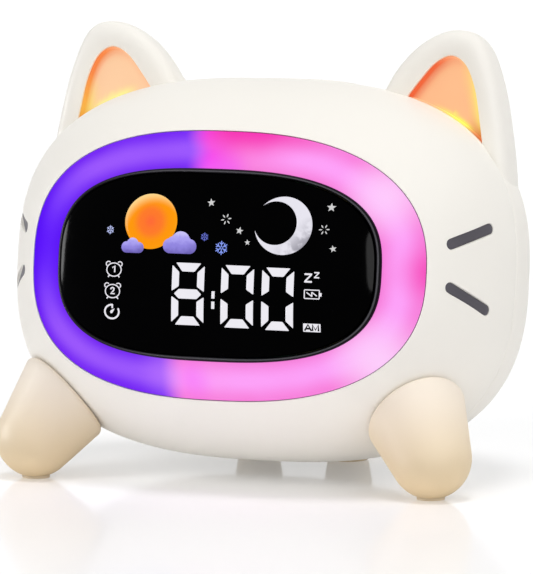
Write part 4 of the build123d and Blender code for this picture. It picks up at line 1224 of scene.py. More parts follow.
bezel = {
    "outer": (48.6, 27.1),
    "power": 2.8,
    "width": 1.4,
    "proud": 0.65,
    "edge": 0.6,
    "edgeSteps": 6,
    "outerDrop": 0.05,
    "innerDrop": 0.35,
    "crestRows": ((0.57, 0.12), (0.64, 0.2)),  # share of the width, how deep below the crest
    "walls": (1.0, 1.5),  # how deep the outer and the inner wall begin
    "depth": 6.0,
    # the bezel's dark plastic, with painted shade at both edges
    "slopes": colour(6, 5, 10),
    # painted highlight: a paler grey band along the crest in place of a reflection
    "crest": colour(88, 87, 92),
    "highlightWidth": 0.45,
    # painted shade: the crest's highlight fades out towards the left
    "highlightFadeX": (-42.0, -18.0),
    "leftHighlightShare": 0.2,
}
window = {
    "power": 2.8,
    "sag": 32.8,
    "sagPower": 2.95,
    "gap": 0.05,
    "thick": 2.4,
    "rings": 22,
    "edge": 0.25,
    "gloss": 0.009,
    "roughness": (0.06, 0.05),
}


def windowY(x, z):
    return -head["frontDepth"] + window["sag"] * headShare(x, z) ** window["sagPower"]


def bezelLevels():
    # how far in from the outer edge, how deep below the head's skin
    width, proud = bezel["width"], bezel["proud"]
    outerWall, innerWall = bezel["walls"]
    rounded = roundedEdge(bezel["edge"], bezel["edgeSteps"])
    levels = [(0.0, bezel["depth"]), (0.0, outerWall)]
    levels += [(inward, down - proud + bezel["outerDrop"]) for inward, down in rounded]
    levels += [(part * width, below - proud) for part, below in bezel["crestRows"]]
    for inward, down in reversed(rounded[:-1]):
        levels.append((width - inward, down - proud + bezel["innerDrop"]))
    return levels + [(width, innerWall), (width, bezel["depth"])]


def bezelMesh():
    levels = bezelLevels()
    angles = evenAngles(*bezel["outer"])
    rings = []
    for inward, deeper in levels:
        ring = []
        for angle in angles:
            outer = outlineRadius(*bezel["outer"], bezel["power"], angle)
            ring.append(onFront(angle, outer - inward, deeper=deeper))
        rings.append(ring)
    mesh = ringMesh(rings, closed=True)
    # painted highlight along the middle of the crest, dimmed on the left by painted shade
    crest = mesh.verts.layers.float.new("crest")
    mesh.verts.ensure_lookup_table()
    for index, vertex in enumerate(mesh.verts):
        offMiddle = abs(2 * levels[index // len(angles)][0] / bezel["width"] - 1)
        lit = max(shareBetween(vertex.co.x, *bezel["highlightFadeX"]), bezel["leftHighlightShare"])
        vertex[crest] = max(1 - (offMiddle / bezel["highlightWidth"]) ** 2, 0.0) * lit
    return mesh


def makeBezelMaterial():
    # painted highlight on the crest, dimmed towards the left by painted shade; nearly black down both slopes,
    # the bezel's dark plastic with painted shade at its edges
    material = plastic("bezel_grey", bezel["slopes"], bezel["slopes"], roughness=0.28, marks=0.08,
                       grainStrength=0.04, **{"Specular IOR Level": 0.05})
    tree = material.node_tree
    shade = mixColour(tree, attribute(tree, "crest"), bezel["slopes"], bezel["crest"])
    repaint(material, shade, shade)
    return material


def windowMesh():
    half = [size - bezel["width"] - window["gap"] for size in bezel["outer"]]
    rings = []
    angles = evenAngles(*half)
    for step in range(window["rings"], 0, -1):
        part = math.sin(math.pi / 2 * step / window["rings"])
        ring = []
        for angle in angles:
            reach = part * outlineRadius(*half, window["power"], angle)
            x, z = reach * math.cos(angle), reach * math.sin(angle)
            ring.append((x, windowY(x, z) + (window["edge"] if step == window["rings"] else 0.0), z))
        rings.append(ring)
    back = [(x, y + window["thick"], z) for x, y, z in rings[0]]
    return ringMesh([back] + rings, capStart=True, capEnd=True)


def windowMaterial():
    material, tree, shader = startMaterial("smoked_window", {"Specular IOR Level": window["gloss"]})
    place = objectPlace(tree)
    deep = mixColour(tree, noise(tree, place, 30.0), black, colour(2, 2, 3))
    link(tree, deep, shader.inputs["Base Color"])
    haze = between(tree, noise(tree, place, 260.0, 4.0), 0.5, 0.8)
    clear, hazy = window["roughness"]
    link(tree, plus(tree, times(tree, haze, hazy), clear), shader.inputs["Roughness"])
    return material


bezelMaterial = makeBezelMaterial()
dress(objectFrom(bezelMesh(), "windowBezel"), bezelMaterial, replaced=["window_bezel"])
dress(objectFrom(windowMesh(), "displayWindow"), windowMaterial(),
      replaced=["display_window"])
print("light ring, bezel and window made")


# What the display shows, as thin lit shapes on the window's dome

display = {
    "lift": 0.07,
    "over": 0.06,
    "thick": 0.09,
    "fineness": 1.3,
    "roughness": 0.25,
    "gloss": 0.02,
    "ownShare": 0.1,
    "white": colour(240, 238, 245),
    "starGrey": colour(218, 218, 218),
    "unlit": colour(3, 3, 4),
}
digits = {
    # middle x, middle z, half width, with a middle bar
    "places": ((-5.15, -8.45, 4.85, True), (9.6, -8.62, 4.8, False), (21.35, -8.8, 4.55, False)),
    "halfHeight": 8.74,
    "flatThick": 2.45,
    "sideThick": 2.1,
    "flatInset": (1.1, 3.0),
    "sideSpan": (0.75, 8.0, 6.1, 2.1),
    "middleBar": (4.1, 2.7, 1.35),
    "colon": (2.5, (-8.4, -11.3), (0.45, 1.025)),  # x, heights, half width and height
}


def barOutlines(middleX, middleZ, halfX, withMiddle):
    halfZ = digits["halfHeight"]
    thick, side = digits["flatThick"], digits["sideThick"]
    wide, narrow = [halfX - part for part in digits["flatInset"]]
    low, high, innerHigh, innerLow = digits["sideSpan"]
    bars = []
    for up in (1, -1):
        bars.append([(-wide, up * halfZ), (wide, up * halfZ), (narrow, up * (halfZ - thick)),
                     (-narrow, up * (halfZ - thick))])
        for across in (1, -1):
            bars.append([(across * halfX, up * low), (across * halfX, up * high),
                         (across * (halfX - side), up * innerHigh), (across * (halfX - side), up * innerLow)])
    if withMiddle:
        tip, flat, high = digits["middleBar"]
        bars.append([(-tip, 0), (-flat, high), (flat, high), (tip, 0), (flat, -high), (-flat, -high)])
    return [[(middleX + x, middleZ + z) for x, z in bar] for bar in bars]


def softened(outline, radius=0.28):
    # cut each corner into a short arc
    points = []
    count = len(outline)
    for k in range(count):
        here = Vector(outline[k])
        before, after = Vector(outline[k - 1]), Vector(outline[(k + 1) % count])
        start = here + (before - here).normalized() * radius
        end = here + (after - here).normalized() * radius
        for t in (0.0, 0.33, 0.67, 1.0):
            points.append(tuple(start * (1 - t) ** 2 + here * 2 * t * (1 - t) + end * t ** 2))
    return points


def stroke(points, width, closed=False):
    # a line of even width, as four-cornered pieces
    pieces = []
    count = len(points)
    sides = []
    for k in range(count):
        before = Vector(points[k - 1] if closed or k else points[k])
        after = Vector(points[(k + 1) % count] if closed or k < count - 1 else points[k])
        direction = (after - before).normalized()
        offset = Vector((-direction.y, direction.x)) * width / 2
        sides.append((Vector(points[k]) + offset, Vector(points[k]) - offset))
    last = count if closed else count - 1
    for k in range(last):
        first, second = sides[k], sides[(k + 1) % count]
        pieces.append([tuple(first[0]), tuple(second[0]), tuple(second[1]), tuple(first[1])])
    return pieces


def arc(x, z, radius, start, end, count=24):
    turns = [math.radians(start + (end - start) * k / count) for k in range(count + 1)]
    return [onCircle(x, z, radius, turn) for turn in turns]


def direction(degrees):
    return Vector(onCircle(0.0, 0.0, 1.0, math.radians(degrees)))


def star(x, z, size, turn):
    points = []
    for k in range(10):
        reach = size if k % 2 == 0 else size * skyPictures["starWaist"]
        points.append(onCircle(x, z, reach, math.radians(90 + turn + 36 * k)))
    return points


def petals(x, z, size, turn):
    shapes = []
    middle = Vector((x, z))
    for k in range(6):
        along = direction(turn + 60 * k)
        aside = Vector((-along.y, along.x))
        shapes.append([tuple(middle + along * size * out + aside * size * wide)
                       for out, wide in skyPictures["petal"]])
    return shapes


def snowflake(x, z, size, width):
    lines = []
    middle = Vector((x, z))
    place, length, bend = skyPictures["flakeBranch"]
    for k in range(6):
        along = direction(30 + 60 * k)
        lines += stroke([tuple(middle + along * part * size) for part in skyPictures["flakeArm"]], width)
        start = middle + along * place * size
        for turn in (bend, -bend):
            end = start + direction(30 + 60 * k + turn) * length * size
            lines += stroke([tuple(start), tuple(end)], width)
    return lines


signStrokes = {
    "1": (((0.27, -0.85), (0.27, 0.98), (-0.5, 0.42)),),
    "2": (((-0.62, 0.42), (-0.35, 0.82), (0.1, 0.93), (0.48, 0.72), (0.48, 0.32), (0.1, -0.2), (-0.62, -0.8),
           (0.72, -0.8)),),
    "AM": (((-1.95, -0.86), (-1.03, 0.86), (-0.12, -0.86)), ((-1.62, -0.26), (-0.44, -0.26)),
           ((0.22, -0.86), (0.24, 0.86), (1.02, -0.6), (1.8, 0.86), (1.84, -0.86))),
}


def strokedSign(text, x, z, width):
    shapes = []
    for line in signStrokes[text]:
        shapes += stroke([(x + right, z + up) for right, up in line], width)
    return shapes


def ellipseArc(x, z, radiusX, radiusZ, start, end, count=40):
    return [(x + (right - x) * radiusX, z + (up - z) * radiusZ)
            for right, up in arc(x, z, 1.0, start, end, count)]


def alarmSign(x, z, number):
    shapes = stroke(ellipseArc(x, z, 2.36, 1.88, 0, 360)[:-1], 0.29, closed=True)
    for side in (1, -1):
        start, end = (-58, 140) if side > 0 else (40, 238)
        shapes += stroke(ellipseArc(x + side * 1.84, z + 1.62, 0.78, 0.66, start, end, 12), 0.28)
        shapes += stroke([(x + side * 1.35, z - 1.6), (x + side * 1.86, z - 2.12)], 0.32)
    return shapes + strokedSign(number, x, z + 0.1, 0.38)


def timerSign(x, z):
    shapes = stroke(ellipseArc(x, z, 2.3, 1.95, 84, 390), 0.5)
    shapes += stroke([(x + 0.16, z + 2.12), (x + 0.16, z + 0.95)], 0.48)
    shapes.append([(x - 0.55, z - 0.1), (x - 0.3, z - 0.5), (x + 0.15, z - 0.4), (x + 0.95, z + 0.92),
                   (x - 0.35, z + 0.35)])
    return shapes


def letterZ(x, z, width, height, weight):
    return [(x, z + height), (x + width, z + height), (x + width, z + height - weight * 0.9),
            (x + weight * 1.25, z + weight), (x + width, z + weight), (x + width, z), (x, z),
            (x, z + weight * 0.9), (x + width - weight * 1.25, z + height - weight), (x, z + height - weight)]


def batterySign(x, z, width, height):
    corners = [(x, z), (x + width, z), (x + width, z + height), (x, z + height)]
    shapes = stroke(softened(corners, 0.22), 0.28, closed=True)
    middleX, middleZ = x + width / 2, z + height / 2
    shapes.append(roundedBox(x + width + 0.36, middleZ, 0.28, 0.5, 0.1, 2))
    bolt = ((-1.45, 0.5), (0.06, -0.6), (-0.04, 0.62), (1.4, -0.42))
    for ends in zip(bolt, bolt[1:]):
        shapes += stroke([(middleX + right, middleZ + up) for right, up in ends], 0.3)
    return shapes


def onDome(outlines, name, lift=0.0, middle=None):
    # flat outlines, cut fine enough to lie on the dome, with their own thickness
    mesh = bmesh.new()
    for outline in outlines:
        mesh.faces.new([mesh.verts.new((x, 0, z)) for x, z in outline])
    bmesh.ops.remove_doubles(mesh, verts=mesh.verts, dist=0.001)
    bmesh.ops.triangulate(mesh, faces=mesh.faces)
    for step in range(4):
        longEdges = [edge for edge in mesh.edges if edge.calc_length() > display["fineness"]]
        if not longEdges:
            break
        bmesh.ops.subdivide_edges(mesh, edges=longEdges, cuts=1)
        bmesh.ops.triangulate(mesh, faces=mesh.faces)
    if middle:
        layer = mesh.loops.layers.uv.new("spot")
        middleX, middleZ, size = middle
        for face in mesh.faces:
            for loop in face.loops:
                x, y, z = loop.vert.co
                loop[layer].uv = (0.5 + (x - middleX) / size / 2, 0.5 + (z - middleZ) / size / 2)
    for vertex in mesh.verts:
        vertex.co.y = windowY(vertex.co.x, vertex.co.z) - display["lift"] - lift
    mesh.normal_update()
    for face in mesh.faces:
        if face.normal.y > 0:
            face.normal_flip()
    piece = objectFrom(mesh, name)
    body = piece.modifiers.new("thickness", "SOLIDIFY")
    body.thickness = display["thick"] * millimetre
    body.offset = -1.0
    return piece


def startLit(name, strength):
    return startMaterial(name, {"Roughness": display["roughness"], "Emission Strength": strength,
                                "Specular IOR Level": display["gloss"]})


def litMaterial(name, tone, strength=0.9):
    material, tree, shader = startLit(name, strength)
    patches = noise(tree, objectPlace(tree), 240.0, 3.0)
    glow(tree, shader, mixColour(tree, patches, tone, scaledTone(tone, 0.93)), display["ownShare"])
    return material


def discOutlines(x, z, radius, rings=8, count=64):
    shapes = []
    for ring in range(rings):
        low, high = radius * ring / rings, radius * (ring + 1) / rings
        for k in range(count):
            start, end = 2 * math.pi * k / count, 2 * math.pi * (k + 1) / count
            inner = [onCircle(x, z, low, start), onCircle(x, z, low, end)] if ring else [(x, z)]
            shapes.append([inner[0], onCircle(x, z, high, start), onCircle(x, z, high, end)] + inner[1:])
    return shapes


skyPictures = {
    "sun": (-17.45, 11.6, 8.1),
    "sunTall": 0.968,
    "moon": (22.0, 11.8, 8.2, 138.4, -167.9),
    "moonCut": (19.7, 12.45, 6.15, 129.2, -156.8),
    # each cloud: its puffs from left to right as x, z, radius; it is flat between the outer two
    "clouds": (((-24.6, 4.1, 1.6), (-22.7, 4.95, 1.85), (-20.7, 4.05, 1.55)),
               ((-11.1, 4.9, 2.1), (-10.2, 5.9, 1.7), (-7.9, 6.25, 2.85), (-5.2, 4.9, 2.1))),
    "stars": ((0.4, 17.5, 1.2, 8.0), (9.5, 9.9, 1.12, -10.0), (12.0, 6.7, 0.86, 5.0),
              (34.9, 17.5, 1.32, 0.0), (36.2, 5.9, 1.05, 12.0)),
    "starWaist": 0.42,
    "petals": ((5.3, 13.0, 1.6, 12.0), (33.5, 11.2, 1.5, 4.0)),
    "petal": ((0.32, 0.0), (0.55, 0.11), (0.85, 0.1), (1.0, 0.0), (0.85, -0.1), (0.55, -0.11)),  # out, aside
    "cloudDrop": 0.2,
    "flakeArm": (0.12, 1.0),
    "flakeBranch": (0.5, 0.42, 50),  # where on the arm, how long, how far it turns in degrees
    "flakes": (("paleFlake", (-30.2, 8.8, 1.25, 0.16), colour(190, 200, 248)),
               ("deepFlake", (-0.8, 7.8, 1.2, 0.13), colour(110, 122, 224)),
               ("largeFlake", (4.4, 4.9, 1.95, 0.27), colour(136, 160, 252))),
}


def crescentOutlines(count=60, rows=4):
    outer = arc(*skyPictures["moon"], count)
    inner = arc(*skyPictures["moonCut"], count)
    shapes = []
    for k in range(count):
        for row in range(rows):
            corners = ((k, row), (k + 1, row), (k + 1, row + 1), (k, row + 1))
            shapes.append([tuple(Vector(outer[step]).lerp(Vector(inner[step]), level / rows))
                           for step, level in corners])
    return shapes


def cloudSpan(puffs):
    return min(x - radius for x, z, radius in puffs), max(x + radius for x, z, radius in puffs)


def cloudOutlines(puffs, count=36, rows=5):
    # columns from the flat foot up to the highest puff
    firstPuff, lastPuff = puffs[0], puffs[-1]
    left, right = cloudSpan(puffs)
    columns = []
    for k in range(count + 1):
        x = left + (right - left) * (0.5 - 0.5 * math.cos(math.pi * k / count))
        tops = []
        for puffX, puffZ, radius in puffs:
            inside = radius ** 2 - (x - puffX) ** 2
            if inside >= -1e-9:
                tops.append(puffZ + math.sqrt(max(inside, 0.0)))
        top = max(tops)
        endZ, endRadius = (firstPuff if x < firstPuff[0] else lastPuff)[1:]
        past = max(firstPuff[0] - x, x - lastPuff[0], 0.0)
        bottom = endZ - math.sqrt(max(endRadius ** 2 - past ** 2, 0.0))
        columns.append([(x, bottom + (top - bottom) * row / rows) for row in range(rows + 1)])
    shapes = []
    for first, second in zip(columns, columns[1:]):
        for row in range(rows):
            shapes.append([first[row], second[row], second[row + 1], first[row + 1]])
    return shapes


def spotParts(tree):
    node = tree.nodes.new("ShaderNodeUVMap")
    node.uv_map = "spot"
    split = tree.nodes.new("ShaderNodeSeparateXYZ")
    link(tree, node.outputs[0], split.inputs[0])
    return [minus(tree, times(tree, split.outputs[k], 2.0), 1.0) for k in (0, 1)]


def pictureMaterial(name, paint, strength=0.9):
    material, tree, shader = startLit(name, strength)
    glow(tree, shader, paint(tree, *spotParts(tree)), display["ownShare"])
    return material


def paintSun(tree, right, up):
    reach = reachNode(tree, right, up)
    body = ramp(tree, reach, [(0.0, colour(255, 108, 54)), (0.35, colour(255, 122, 44)),
                              (0.75, colour(255, 152, 12)), (1.0, colour(255, 158, 10))])
    light = reachNode(tree, right, up, 0.16, -0.42)
    return mixColour(tree, between(tree, light, 1.0, 1.5), body, colour(255, 222, 150))


def paintCloud(tree, right, up):
    puffy = times(tree, noise(tree, objectPlace(tree), 700.0, 3.0), 0.35)
    height = plus(tree, times(tree, up, 0.75), plus(tree, puffy, 0.35))
    body = ramp(tree, height, [(0.0, colour(112, 100, 186)), (0.4, colour(150, 138, 230)),
                               (0.7, colour(176, 166, 248)), (1.0, colour(206, 200, 255))])
    lee = between(tree, minus(tree, right, up), 0.35, 1.5)
    return mixColour(tree, times(tree, lee, 0.6), body, colour(102, 92, 172))


def paintMoon(tree, right, up):
    patch = noise(tree, objectPlace(tree), 330.0, 5.0)
    low = between(tree, plus(tree, right, times(tree, up, -1.0)), 0.3, 1.5)
    grey = times(tree, between(tree, patch, 0.36, 0.58), low)
    return mixColour(tree, times(tree, grey, 0.85), colour(232, 230, 240), colour(140, 138, 150))


signPlaces = {
    "alarms": ((-28.35, -2.45, "1"), (-28.6, -8.55, "2")),
    "timer": (-28.75, -14.35),
    "sleep": ((28.8, -3.8, 2.1, 2.6, 0.5), (31.45, -2.5, 1.42, 1.75, 0.36)),
    "battery": (28.95, -8.25, 4.1, 2.42),
    "morning": (31.1, -16.4),
    "morningPlate": (2.38, 1.15, 0.15, 3),
    "morningStroke": 0.5,
}


def digitOutlines():
    bars = []
    for digit in digits["places"]:
        bars += [softened(bar) for bar in barOutlines(*digit)]
    x, heights, (halfX, halfZ) = digits["colon"]
    corners = ((-halfX, -halfZ), (halfX, -halfZ), (halfX, halfZ), (-halfX, halfZ))
    return bars + [[(x + right, z + up) for right, up in corners] for z in heights]


def signOutlines():
    shapes = []
    for place in signPlaces["alarms"]:
        shapes += alarmSign(*place)
    shapes += timerSign(*signPlaces["timer"])
    shapes += [letterZ(*place) for place in signPlaces["sleep"]]
    return shapes + batterySign(*signPlaces["battery"])


def starOutlines():
    shapes = [star(*place) for place in skyPictures["stars"]]
    for place in skyPictures["petals"]:
        shapes += petals(*place)
    return shapes


def makeSky():
    for name, place, tone in skyPictures["flakes"]:
        dress(onDome(snowflake(*place), name), litMaterial("lit_" + name, tone))
    sunX, sunZ, sunRadius = skyPictures["sun"]
    disc = [[(x, sunZ + (z - sunZ) * skyPictures["sunTall"]) for x, z in shape]
            for shape in discOutlines(sunX, sunZ, sunRadius)]
    sun = onDome(disc, "sunDisc", middle=skyPictures["sun"])
    dress(sun, pictureMaterial("lit_sun", paintSun))
    moon = onDome(crescentOutlines(), "moonCrescent", middle=skyPictures["moon"][:3])
    dress(moon, pictureMaterial("lit_moon", paintMoon))
    cloudMaterial = pictureMaterial("lit_cloud", paintCloud, 0.85)
    for number, puffs in enumerate(skyPictures["clouds"]):
        left, right = cloudSpan(puffs)
        middle = ((left + right) / 2, puffs[1][1] - skyPictures["cloudDrop"], (right - left) / 2)
        cloud = onDome(cloudOutlines(puffs), f"cloud_{number}", display["over"], middle)
        dress(cloud, cloudMaterial)


def makeDisplay():
    white = litMaterial("lit_white", display["white"], 0.92)
    grey = litMaterial("lit_star", display["starGrey"], 0.85)
    plate = roundedBox(*signPlaces["morning"], *signPlaces["morningPlate"])
    for name, outlines, material in (("clockDigits", digitOutlines(), white),
                                     ("displaySigns", signOutlines(), white),
                                     ("morningPlate", [plate], white),
                                     ("nightStars", starOutlines(), grey)):
        dress(onDome(outlines, name), material)
    letters = strokedSign("AM", *signPlaces["morning"], signPlaces["morningStroke"])
    unlit = litMaterial("lit_off", display["unlit"], 0.0)
    dress(onDome(letters, "morningLetters", display["over"]), unlit)
    makeSky()


makeDisplay()
print("display made")


# Feet

foot = {
    "tip": (60.1, -36.4),
    "tipRadius": 11.6,
    "root": (50.0, -27.1, -30.5),
    "rootRadius": 15.9,
    "rim": 2.6,
    "flatZ": 0.8,
    "count": 96,
    "tipSteps": 14,
    "sideSteps": 12,
    "rimSteps": 8,
    "sunk": 1.2,
    "search": 0.5,
    "longest": 60.0,
}


def inHead(point):
    # from the clock's millimetres into the head's frame
    moved = Vector(point) - Vector(head["lift"])
    return Matrix.Rotation(math.radians(head["tilt"]), 4, "X") @ moved


def insideHead(point):
    x, y, z = inHead(point)
    return headShare(x, z) < shareAtY(y)


def footAxis():
    # the middle of the round tip, the way to the root, and how the sides slope away from it
    lift = Vector(head["lift"])
    tip = Vector((foot["tip"][0], foot["tip"][1], 0)) + Vector((0, lift.y, foot["tipRadius"]))
    way = Vector(foot["root"]) + lift - tip
    return tip, way.normalized(), math.asin((foot["rootRadius"] - foot["tipRadius"]) / way.length)


def coneRadius(along, slope):
    return foot["tipRadius"] / math.cos(slope) + along * math.tan(slope)


def meetHead(tip, axis, aside):
    # how far along the axis a line beside it enters the head
    along = 0.0
    while not insideHead(tip + axis * along + aside) and along < foot["longest"]:
        along += foot["search"]
    low, high = along - foot["search"], along
    for tries in range(20):
        middle = (low + high) / 2
        if insideHead(tip + axis * middle + aside):
            high = middle
        else:
            low = middle
    return low


def footLine(tip, axis, slope, out):
    # one line along the foot, as places on the axis and radii: round tip, side, rim under the head
    tipRadius, rim = foot["tipRadius"], foot["rim"]
    line = []
    for step in range(1, foot["tipSteps"] + 1):
        lean = -math.pi / 2 + (math.pi / 2 - slope) * step / foot["tipSteps"]
        line.append((tipRadius * math.sin(lean), tipRadius * math.cos(lean)))
    startAlong = line[-1][0]
    endAlong = startAlong
    for tries in range(6):
        endAlong = meetHead(tip, axis, out * coneRadius(endAlong, slope)) - rim
    for step in range(1, foot["sideSteps"] + 1):
        along = startAlong + (endAlong - startAlong) * step / foot["sideSteps"]
        line.append((along, coneRadius(along, slope)))
    endRadius = coneRadius(endAlong, slope)
    for step in range(1, foot["rimSteps"] + 1):
        bend = math.pi / 2 * step / foot["rimSteps"]
        radius = endRadius - rim * (1 - math.cos(bend))
        line.append((meetHead(tip, axis, out * radius) - rim * (1 - math.sin(bend)), radius))
    radius = endRadius - rim
    line.append((meetHead(tip, axis, out * radius) + foot["sunk"], radius))
    return line


def footMesh(side):
    tip, axis, slope = footAxis()
    sideways = axis.orthogonal().normalized()
    upwards = axis.cross(sideways)
    profiles = []
    for k in range(foot["count"]):
        turn = 2 * math.pi * k / foot["count"]
        out = sideways * math.cos(turn) + upwards * math.sin(turn)
        line = footLine(tip, axis, slope, out)
        profiles.append([tip + axis * along + out * radius for along, radius in line])
    mesh = ringMesh(crossed(profiles), capStart=True, capEnd=True)
    for vertex in mesh.verts:
        vertex.co.z = max(vertex.co.z, foot["flatZ"])
    return onSide(mesh, side)


for footSide, footName in sides:
    piece = objectFrom(footMesh(footSide), "frontFoot_" + footName, clockFromMillimetres)
    dress(piece, footMaterial, replaced=["foot_" + footName])
print("feet made")


# Snooze key and the buttons on the back

def snoozeMesh():
    halfX, halfY = snooze["half"]
    levels = [(1.0, snooze["skirt"])]
    levels += [(1.0 - inward / halfY, down) for inward, down in roundedEdge(snooze["edge"])]
    levels += [(scale, 0.0) for scale in snooze["topRows"]]
    angles = evenAngles(halfX, halfY, snooze["points"])
    rings = []
    for scale, down in levels:
        ring = []
        for angle in angles:
            reach = outlineRadius(halfX, halfY, snooze["power"], angle) * scale
            x, y = onCircle(0.0, snooze["y"], reach, angle)
            ring.append((x, y, roofZ(x, y, -snooze["proud"]) - down))
        rings.append(ring)
    return ringMesh(rings, capStart=True, capEnd=True)


dress(objectFrom(snoozeMesh(), "snoozeKey"), keyMaterial, body="snooze_key_body",
      replaced=["snooze_key"])

buttons = {
    "names": ("mode", "up", "light", "down", "alarm"),
    "radius": 3.5,
    "proud": 1.3,
    "edge": 0.7,
    "dish": 0.25,
    "dishRows": (0.8, 0.65, 0.5, 0.3, 0.1),
    "count": 48,
    "backY": 38.0,
}


def buttonMesh(middleX):
    radius, top = buttons["radius"], head["backY"] + buttons["proud"]
    levels = [(radius, buttons["backY"])]
    levels += [(radius - inward, top - down) for inward, down in roundedEdge(buttons["edge"])]
    for part in buttons["dishRows"]:
        levels.append((part * (radius - buttons["edge"]), top - buttons["dish"] * (1 - part ** 2)))
    rings = []
    for reach, y in levels:
        outline = circleOutline(middleX, backOpenings["buttonZ"], reach, buttons["count"])
        rings.append([(x, y, z) for x, z in outline])
    return ringMesh(rings, capStart=True, capEnd=True)


for buttonName, buttonX in zip(buttons["names"], backOpenings["buttonXs"]):
    piece = objectFrom(buttonMesh(buttonX), buttonName + "Button")
    dress(piece, buttonMaterial, body=buttonName + "_button_body",
          replaced=[buttonName + "_button"])
print("keys made")


# Finishes of the CAD pieces that stay

metalFinish = {
    "stretch": (1.0, 0.08, 1.0),
    "scratches": 700.0,
    "dull": 0.8,
    "unevenness": 0.15,
}


def metal(name, base, roughness):
    material, tree, shader = startMaterial(name, {"Metallic": 1.0})
    stretch = tree.nodes.new("ShaderNodeMapping")
    stretch.inputs["Scale"].default_value = metalFinish["stretch"]
    link(tree, objectPlace(tree), stretch.inputs["Vector"])
    brushed = noise(tree, stretch.outputs[0], metalFinish["scratches"], 3.0)
    shade = mixColour(tree, brushed, base, scaledTone(base, metalFinish["dull"]))
    link(tree, shade, shader.inputs["Base Color"])
    rough = plus(tree, times(tree, brushed, metalFinish["unevenness"]), roughness)
    link(tree, rough, shader.inputs["Roughness"])
    link(tree, bump(tree, brushed, 0.1, 0.00002), shader.inputs["Normal"])
    return material


def boardMaterial():
    # green solder mask with paler tracks
    material, tree, shader = startMaterial("board_green", {"Coat Weight": 0.3})
    place = objectPlace(tree)
    cells = tree.nodes.new("ShaderNodeTexVoronoi")
    cells.feature = "DISTANCE_TO_EDGE"
    cells.inputs["Scale"].default_value = 420.0
    link(tree, place, cells.inputs["Vector"])
    track = between(tree, cells.outputs["Distance"], 0.06, 0.03)
    green = mixColour(tree, track, colour(22, 96, 54), colour(38, 124, 74))
    link(tree, green, shader.inputs["Base Color"])
    rough = plus(tree, times(tree, noise(tree, place, 300.0), 0.1), 0.35)
    link(tree, rough, shader.inputs["Roughness"])
    link(tree, bump(tree, track, 0.2, 0.00003), shader.inputs["Normal"])
    return material


# for each slot: colour, drift colour, roughness
plainPlastics = {
    "black_block": ((38, 38, 40), (30, 30, 32), 0.5),
    "chip_black": ((34, 34, 36), (28, 28, 30), 0.55),
    "tray_white": ((232, 232, 232), (222, 222, 222), 0.4),
    "plug_white": ((226, 224, 214), (216, 212, 200), 0.45),
    "cell_blue": ((36, 92, 160), (30, 80, 150), 0.3),
    "lead_red": ((176, 34, 30), (150, 28, 26), 0.5),
}
# for each slot: colour, roughness
metals = {
    "steel_screw": ((190, 190, 194), 0.25),
    "socket_steel": ((198, 198, 202), 0.22),
    "coin_steel": ((212, 212, 216), 0.15),
    "magnet_dark": ((70, 70, 74), 0.35),
}
finishBySlot = {
    "cream_shell": shellMaterial,
    "foot_cream": footMaterial,
    "button_grey": buttonMaterial,
    "bezel_grey": bezelMaterial,
    "whisker_grey": whiskerMaterial,
    "rubber_cream": plastic("rubber_cream", colour(230, 213, 184), colour(220, 202, 172), roughness=0.75,
                            marks=0.12, grainStrength=0.3),
    "paper_cone": plastic("paper_cone", colour(40, 40, 42), colour(30, 30, 31), roughness=0.85,
                          grainScale=900.0, grainStrength=0.5),
    "lit_white": litMaterial("lit_inside", display["white"], 0.4),
    "led_yellow": litMaterial("led_yellow", colour(250, 226, 120), 0.5),
    "board_green": boardMaterial(),
}
for slotName, (base, drift, roughness) in plainPlastics.items():
    finishBySlot[slotName] = plastic(slotName, colour(*base), colour(*drift), roughness)
for slotName, (base, roughness) in metals.items():
    finishBySlot[slotName] = metal(slotName, colour(*base), roughness)

slotOfNode = {row["node"]: row["material_slot"] for row in frame["record"]["subparts"]}
for nodeName, node in frame["nodes"].items():
    finish = finishBySlot.get(slotOfNode[nodeName])
    if finish:
        node.data.materials.clear()
        node.data.materials.append(finish)
print("CAD pieces finished")


# Floor, light and view

stage = {
    "reach": 9.0,
    "tone": colour(246, 246, 247),
    "toneFar": colour(244, 244, 245),
    "lift": 0.13,
}


def stageMaterial():
    # lit by the lamps, with plain white added only where the camera, gloss or glass sees it
    material, tree, shader = startMaterial("stage_white", {"Roughness": 0.12, "Specular IOR Level": 0.1})
    tone = mixColour(tree, noise(tree, objectPlace(tree), 3.0), stage["tone"], stage["toneFar"])
    link(tree, tone, shader.inputs["Base Color"])
    seen = tree.nodes.new("ShaderNodeLightPath")
    looks = plus(tree, seen.outputs["Is Camera Ray"], seen.outputs["Is Glossy Ray"], clamp=True)
    looks = plus(tree, looks, seen.outputs["Is Transmission Ray"], clamp=True)
    shader.inputs["Emission Color"].default_value = (1.0, 1.0, 1.0, 1.0)
    link(tree, times(tree, looks, stage["lift"]), shader.inputs["Emission Strength"])
    return material


def makeStage():
    mesh = bmesh.new()
    corners = ((-1, -1), (1, -1), (1, 1), (-1, 1))
    mesh.faces.new([mesh.verts.new((x * stage["reach"], y * stage["reach"], 0.0)) for x, y in corners])
    piece = objectFrom(mesh, "stageFloor", Matrix.Identity(4))
    piece.data.materials.append(stageMaterial())
    piece.visible_shadow = False  # light from the white floor reaches the clock's underside


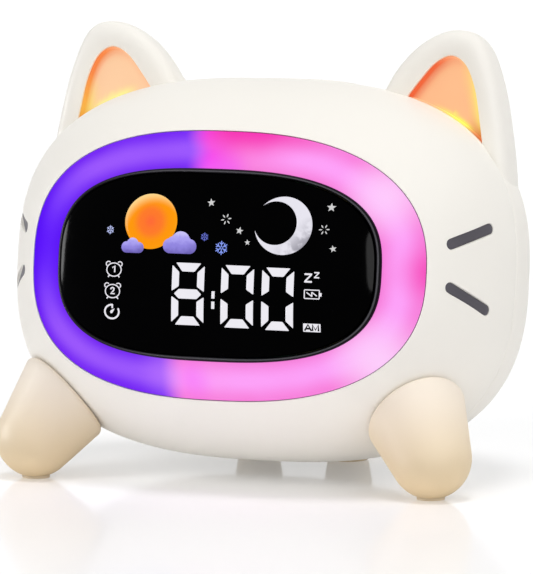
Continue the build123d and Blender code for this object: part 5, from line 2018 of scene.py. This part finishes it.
lights = {
    "world": 0.33,
    "suns": (
        {"strength": 0.64, "from": (-0.57, -0.75, 0.62), "spread": 22.0},
        {"strength": 1.02, "from": (0.85, -0.35, 0.5), "spread": 60.0},
        {"strength": 1.1, "from": (0.05, -0.1, 1.0), "spread": 20.0},
        {"strength": 0.7, "from": (-0.6, -0.5, -0.58), "spread": 60.0},
    ),
    # tall soft boxes that only glossy faces show
    "strips": (
        {"radiance": 90.0, "place": (-0.78, -0.19, 0.13), "size": (0.1, 0.3)},
        {"radiance": 44.0, "place": (0.485, -0.655, 0.215), "size": (0.085, 0.22)},
    ),
}


def addLamp(name, kind, towards):
    data = bpy.data.lights.new(name, kind)
    lamp = bpy.data.objects.new(name, data)
    lamp.rotation_euler = Vector(towards).to_track_quat("Z", "Y").to_euler()
    bpy.context.scene.collection.objects.link(lamp)
    return lamp, data


def addLights():
    world = bpy.data.worlds.new("world")
    bpy.context.scene.world = world
    world.use_nodes = True
    tree = world.node_tree
    back = tree.nodes["Background"]
    seen = tree.nodes.new("ShaderNodeLightPath")
    looks = plus(tree, seen.outputs["Is Camera Ray"], seen.outputs["Is Glossy Ray"], clamp=True)
    level = plus(tree, times(tree, looks, 1 - lights["world"]), lights["world"])
    back.inputs["Color"].default_value = (1.0, 1.0, 1.0, 1.0)
    link(tree, level, back.inputs["Strength"])
    for number, values in enumerate(lights["suns"]):
        lamp, data = addLamp(f"sun_{number}", "SUN", values["from"])
        data.energy = values["strength"]
        data.angle = math.radians(values["spread"])
        lamp.visible_glossy = False
    for number, values in enumerate(lights["strips"]):
        place = Vector(values["place"])
        lamp, data = addLamp(f"strip_{number}", "AREA", place - Vector((0, 0, head["lift"][2] * millimetre)))
        lamp.location = place
        data.shape = "ELLIPSE"
        data.size, data.size_y = values["size"]
        data.energy = values["radiance"] * math.pi * data.size * data.size_y * math.pi / 4
        lamp.visible_diffuse = False
        lamp.visible_camera = False
        lamp.visible_transmission = False


makeStage()
addLights()
bpy.context.scene.view_settings.view_transform = "Standard"
print("stage and lights ready")
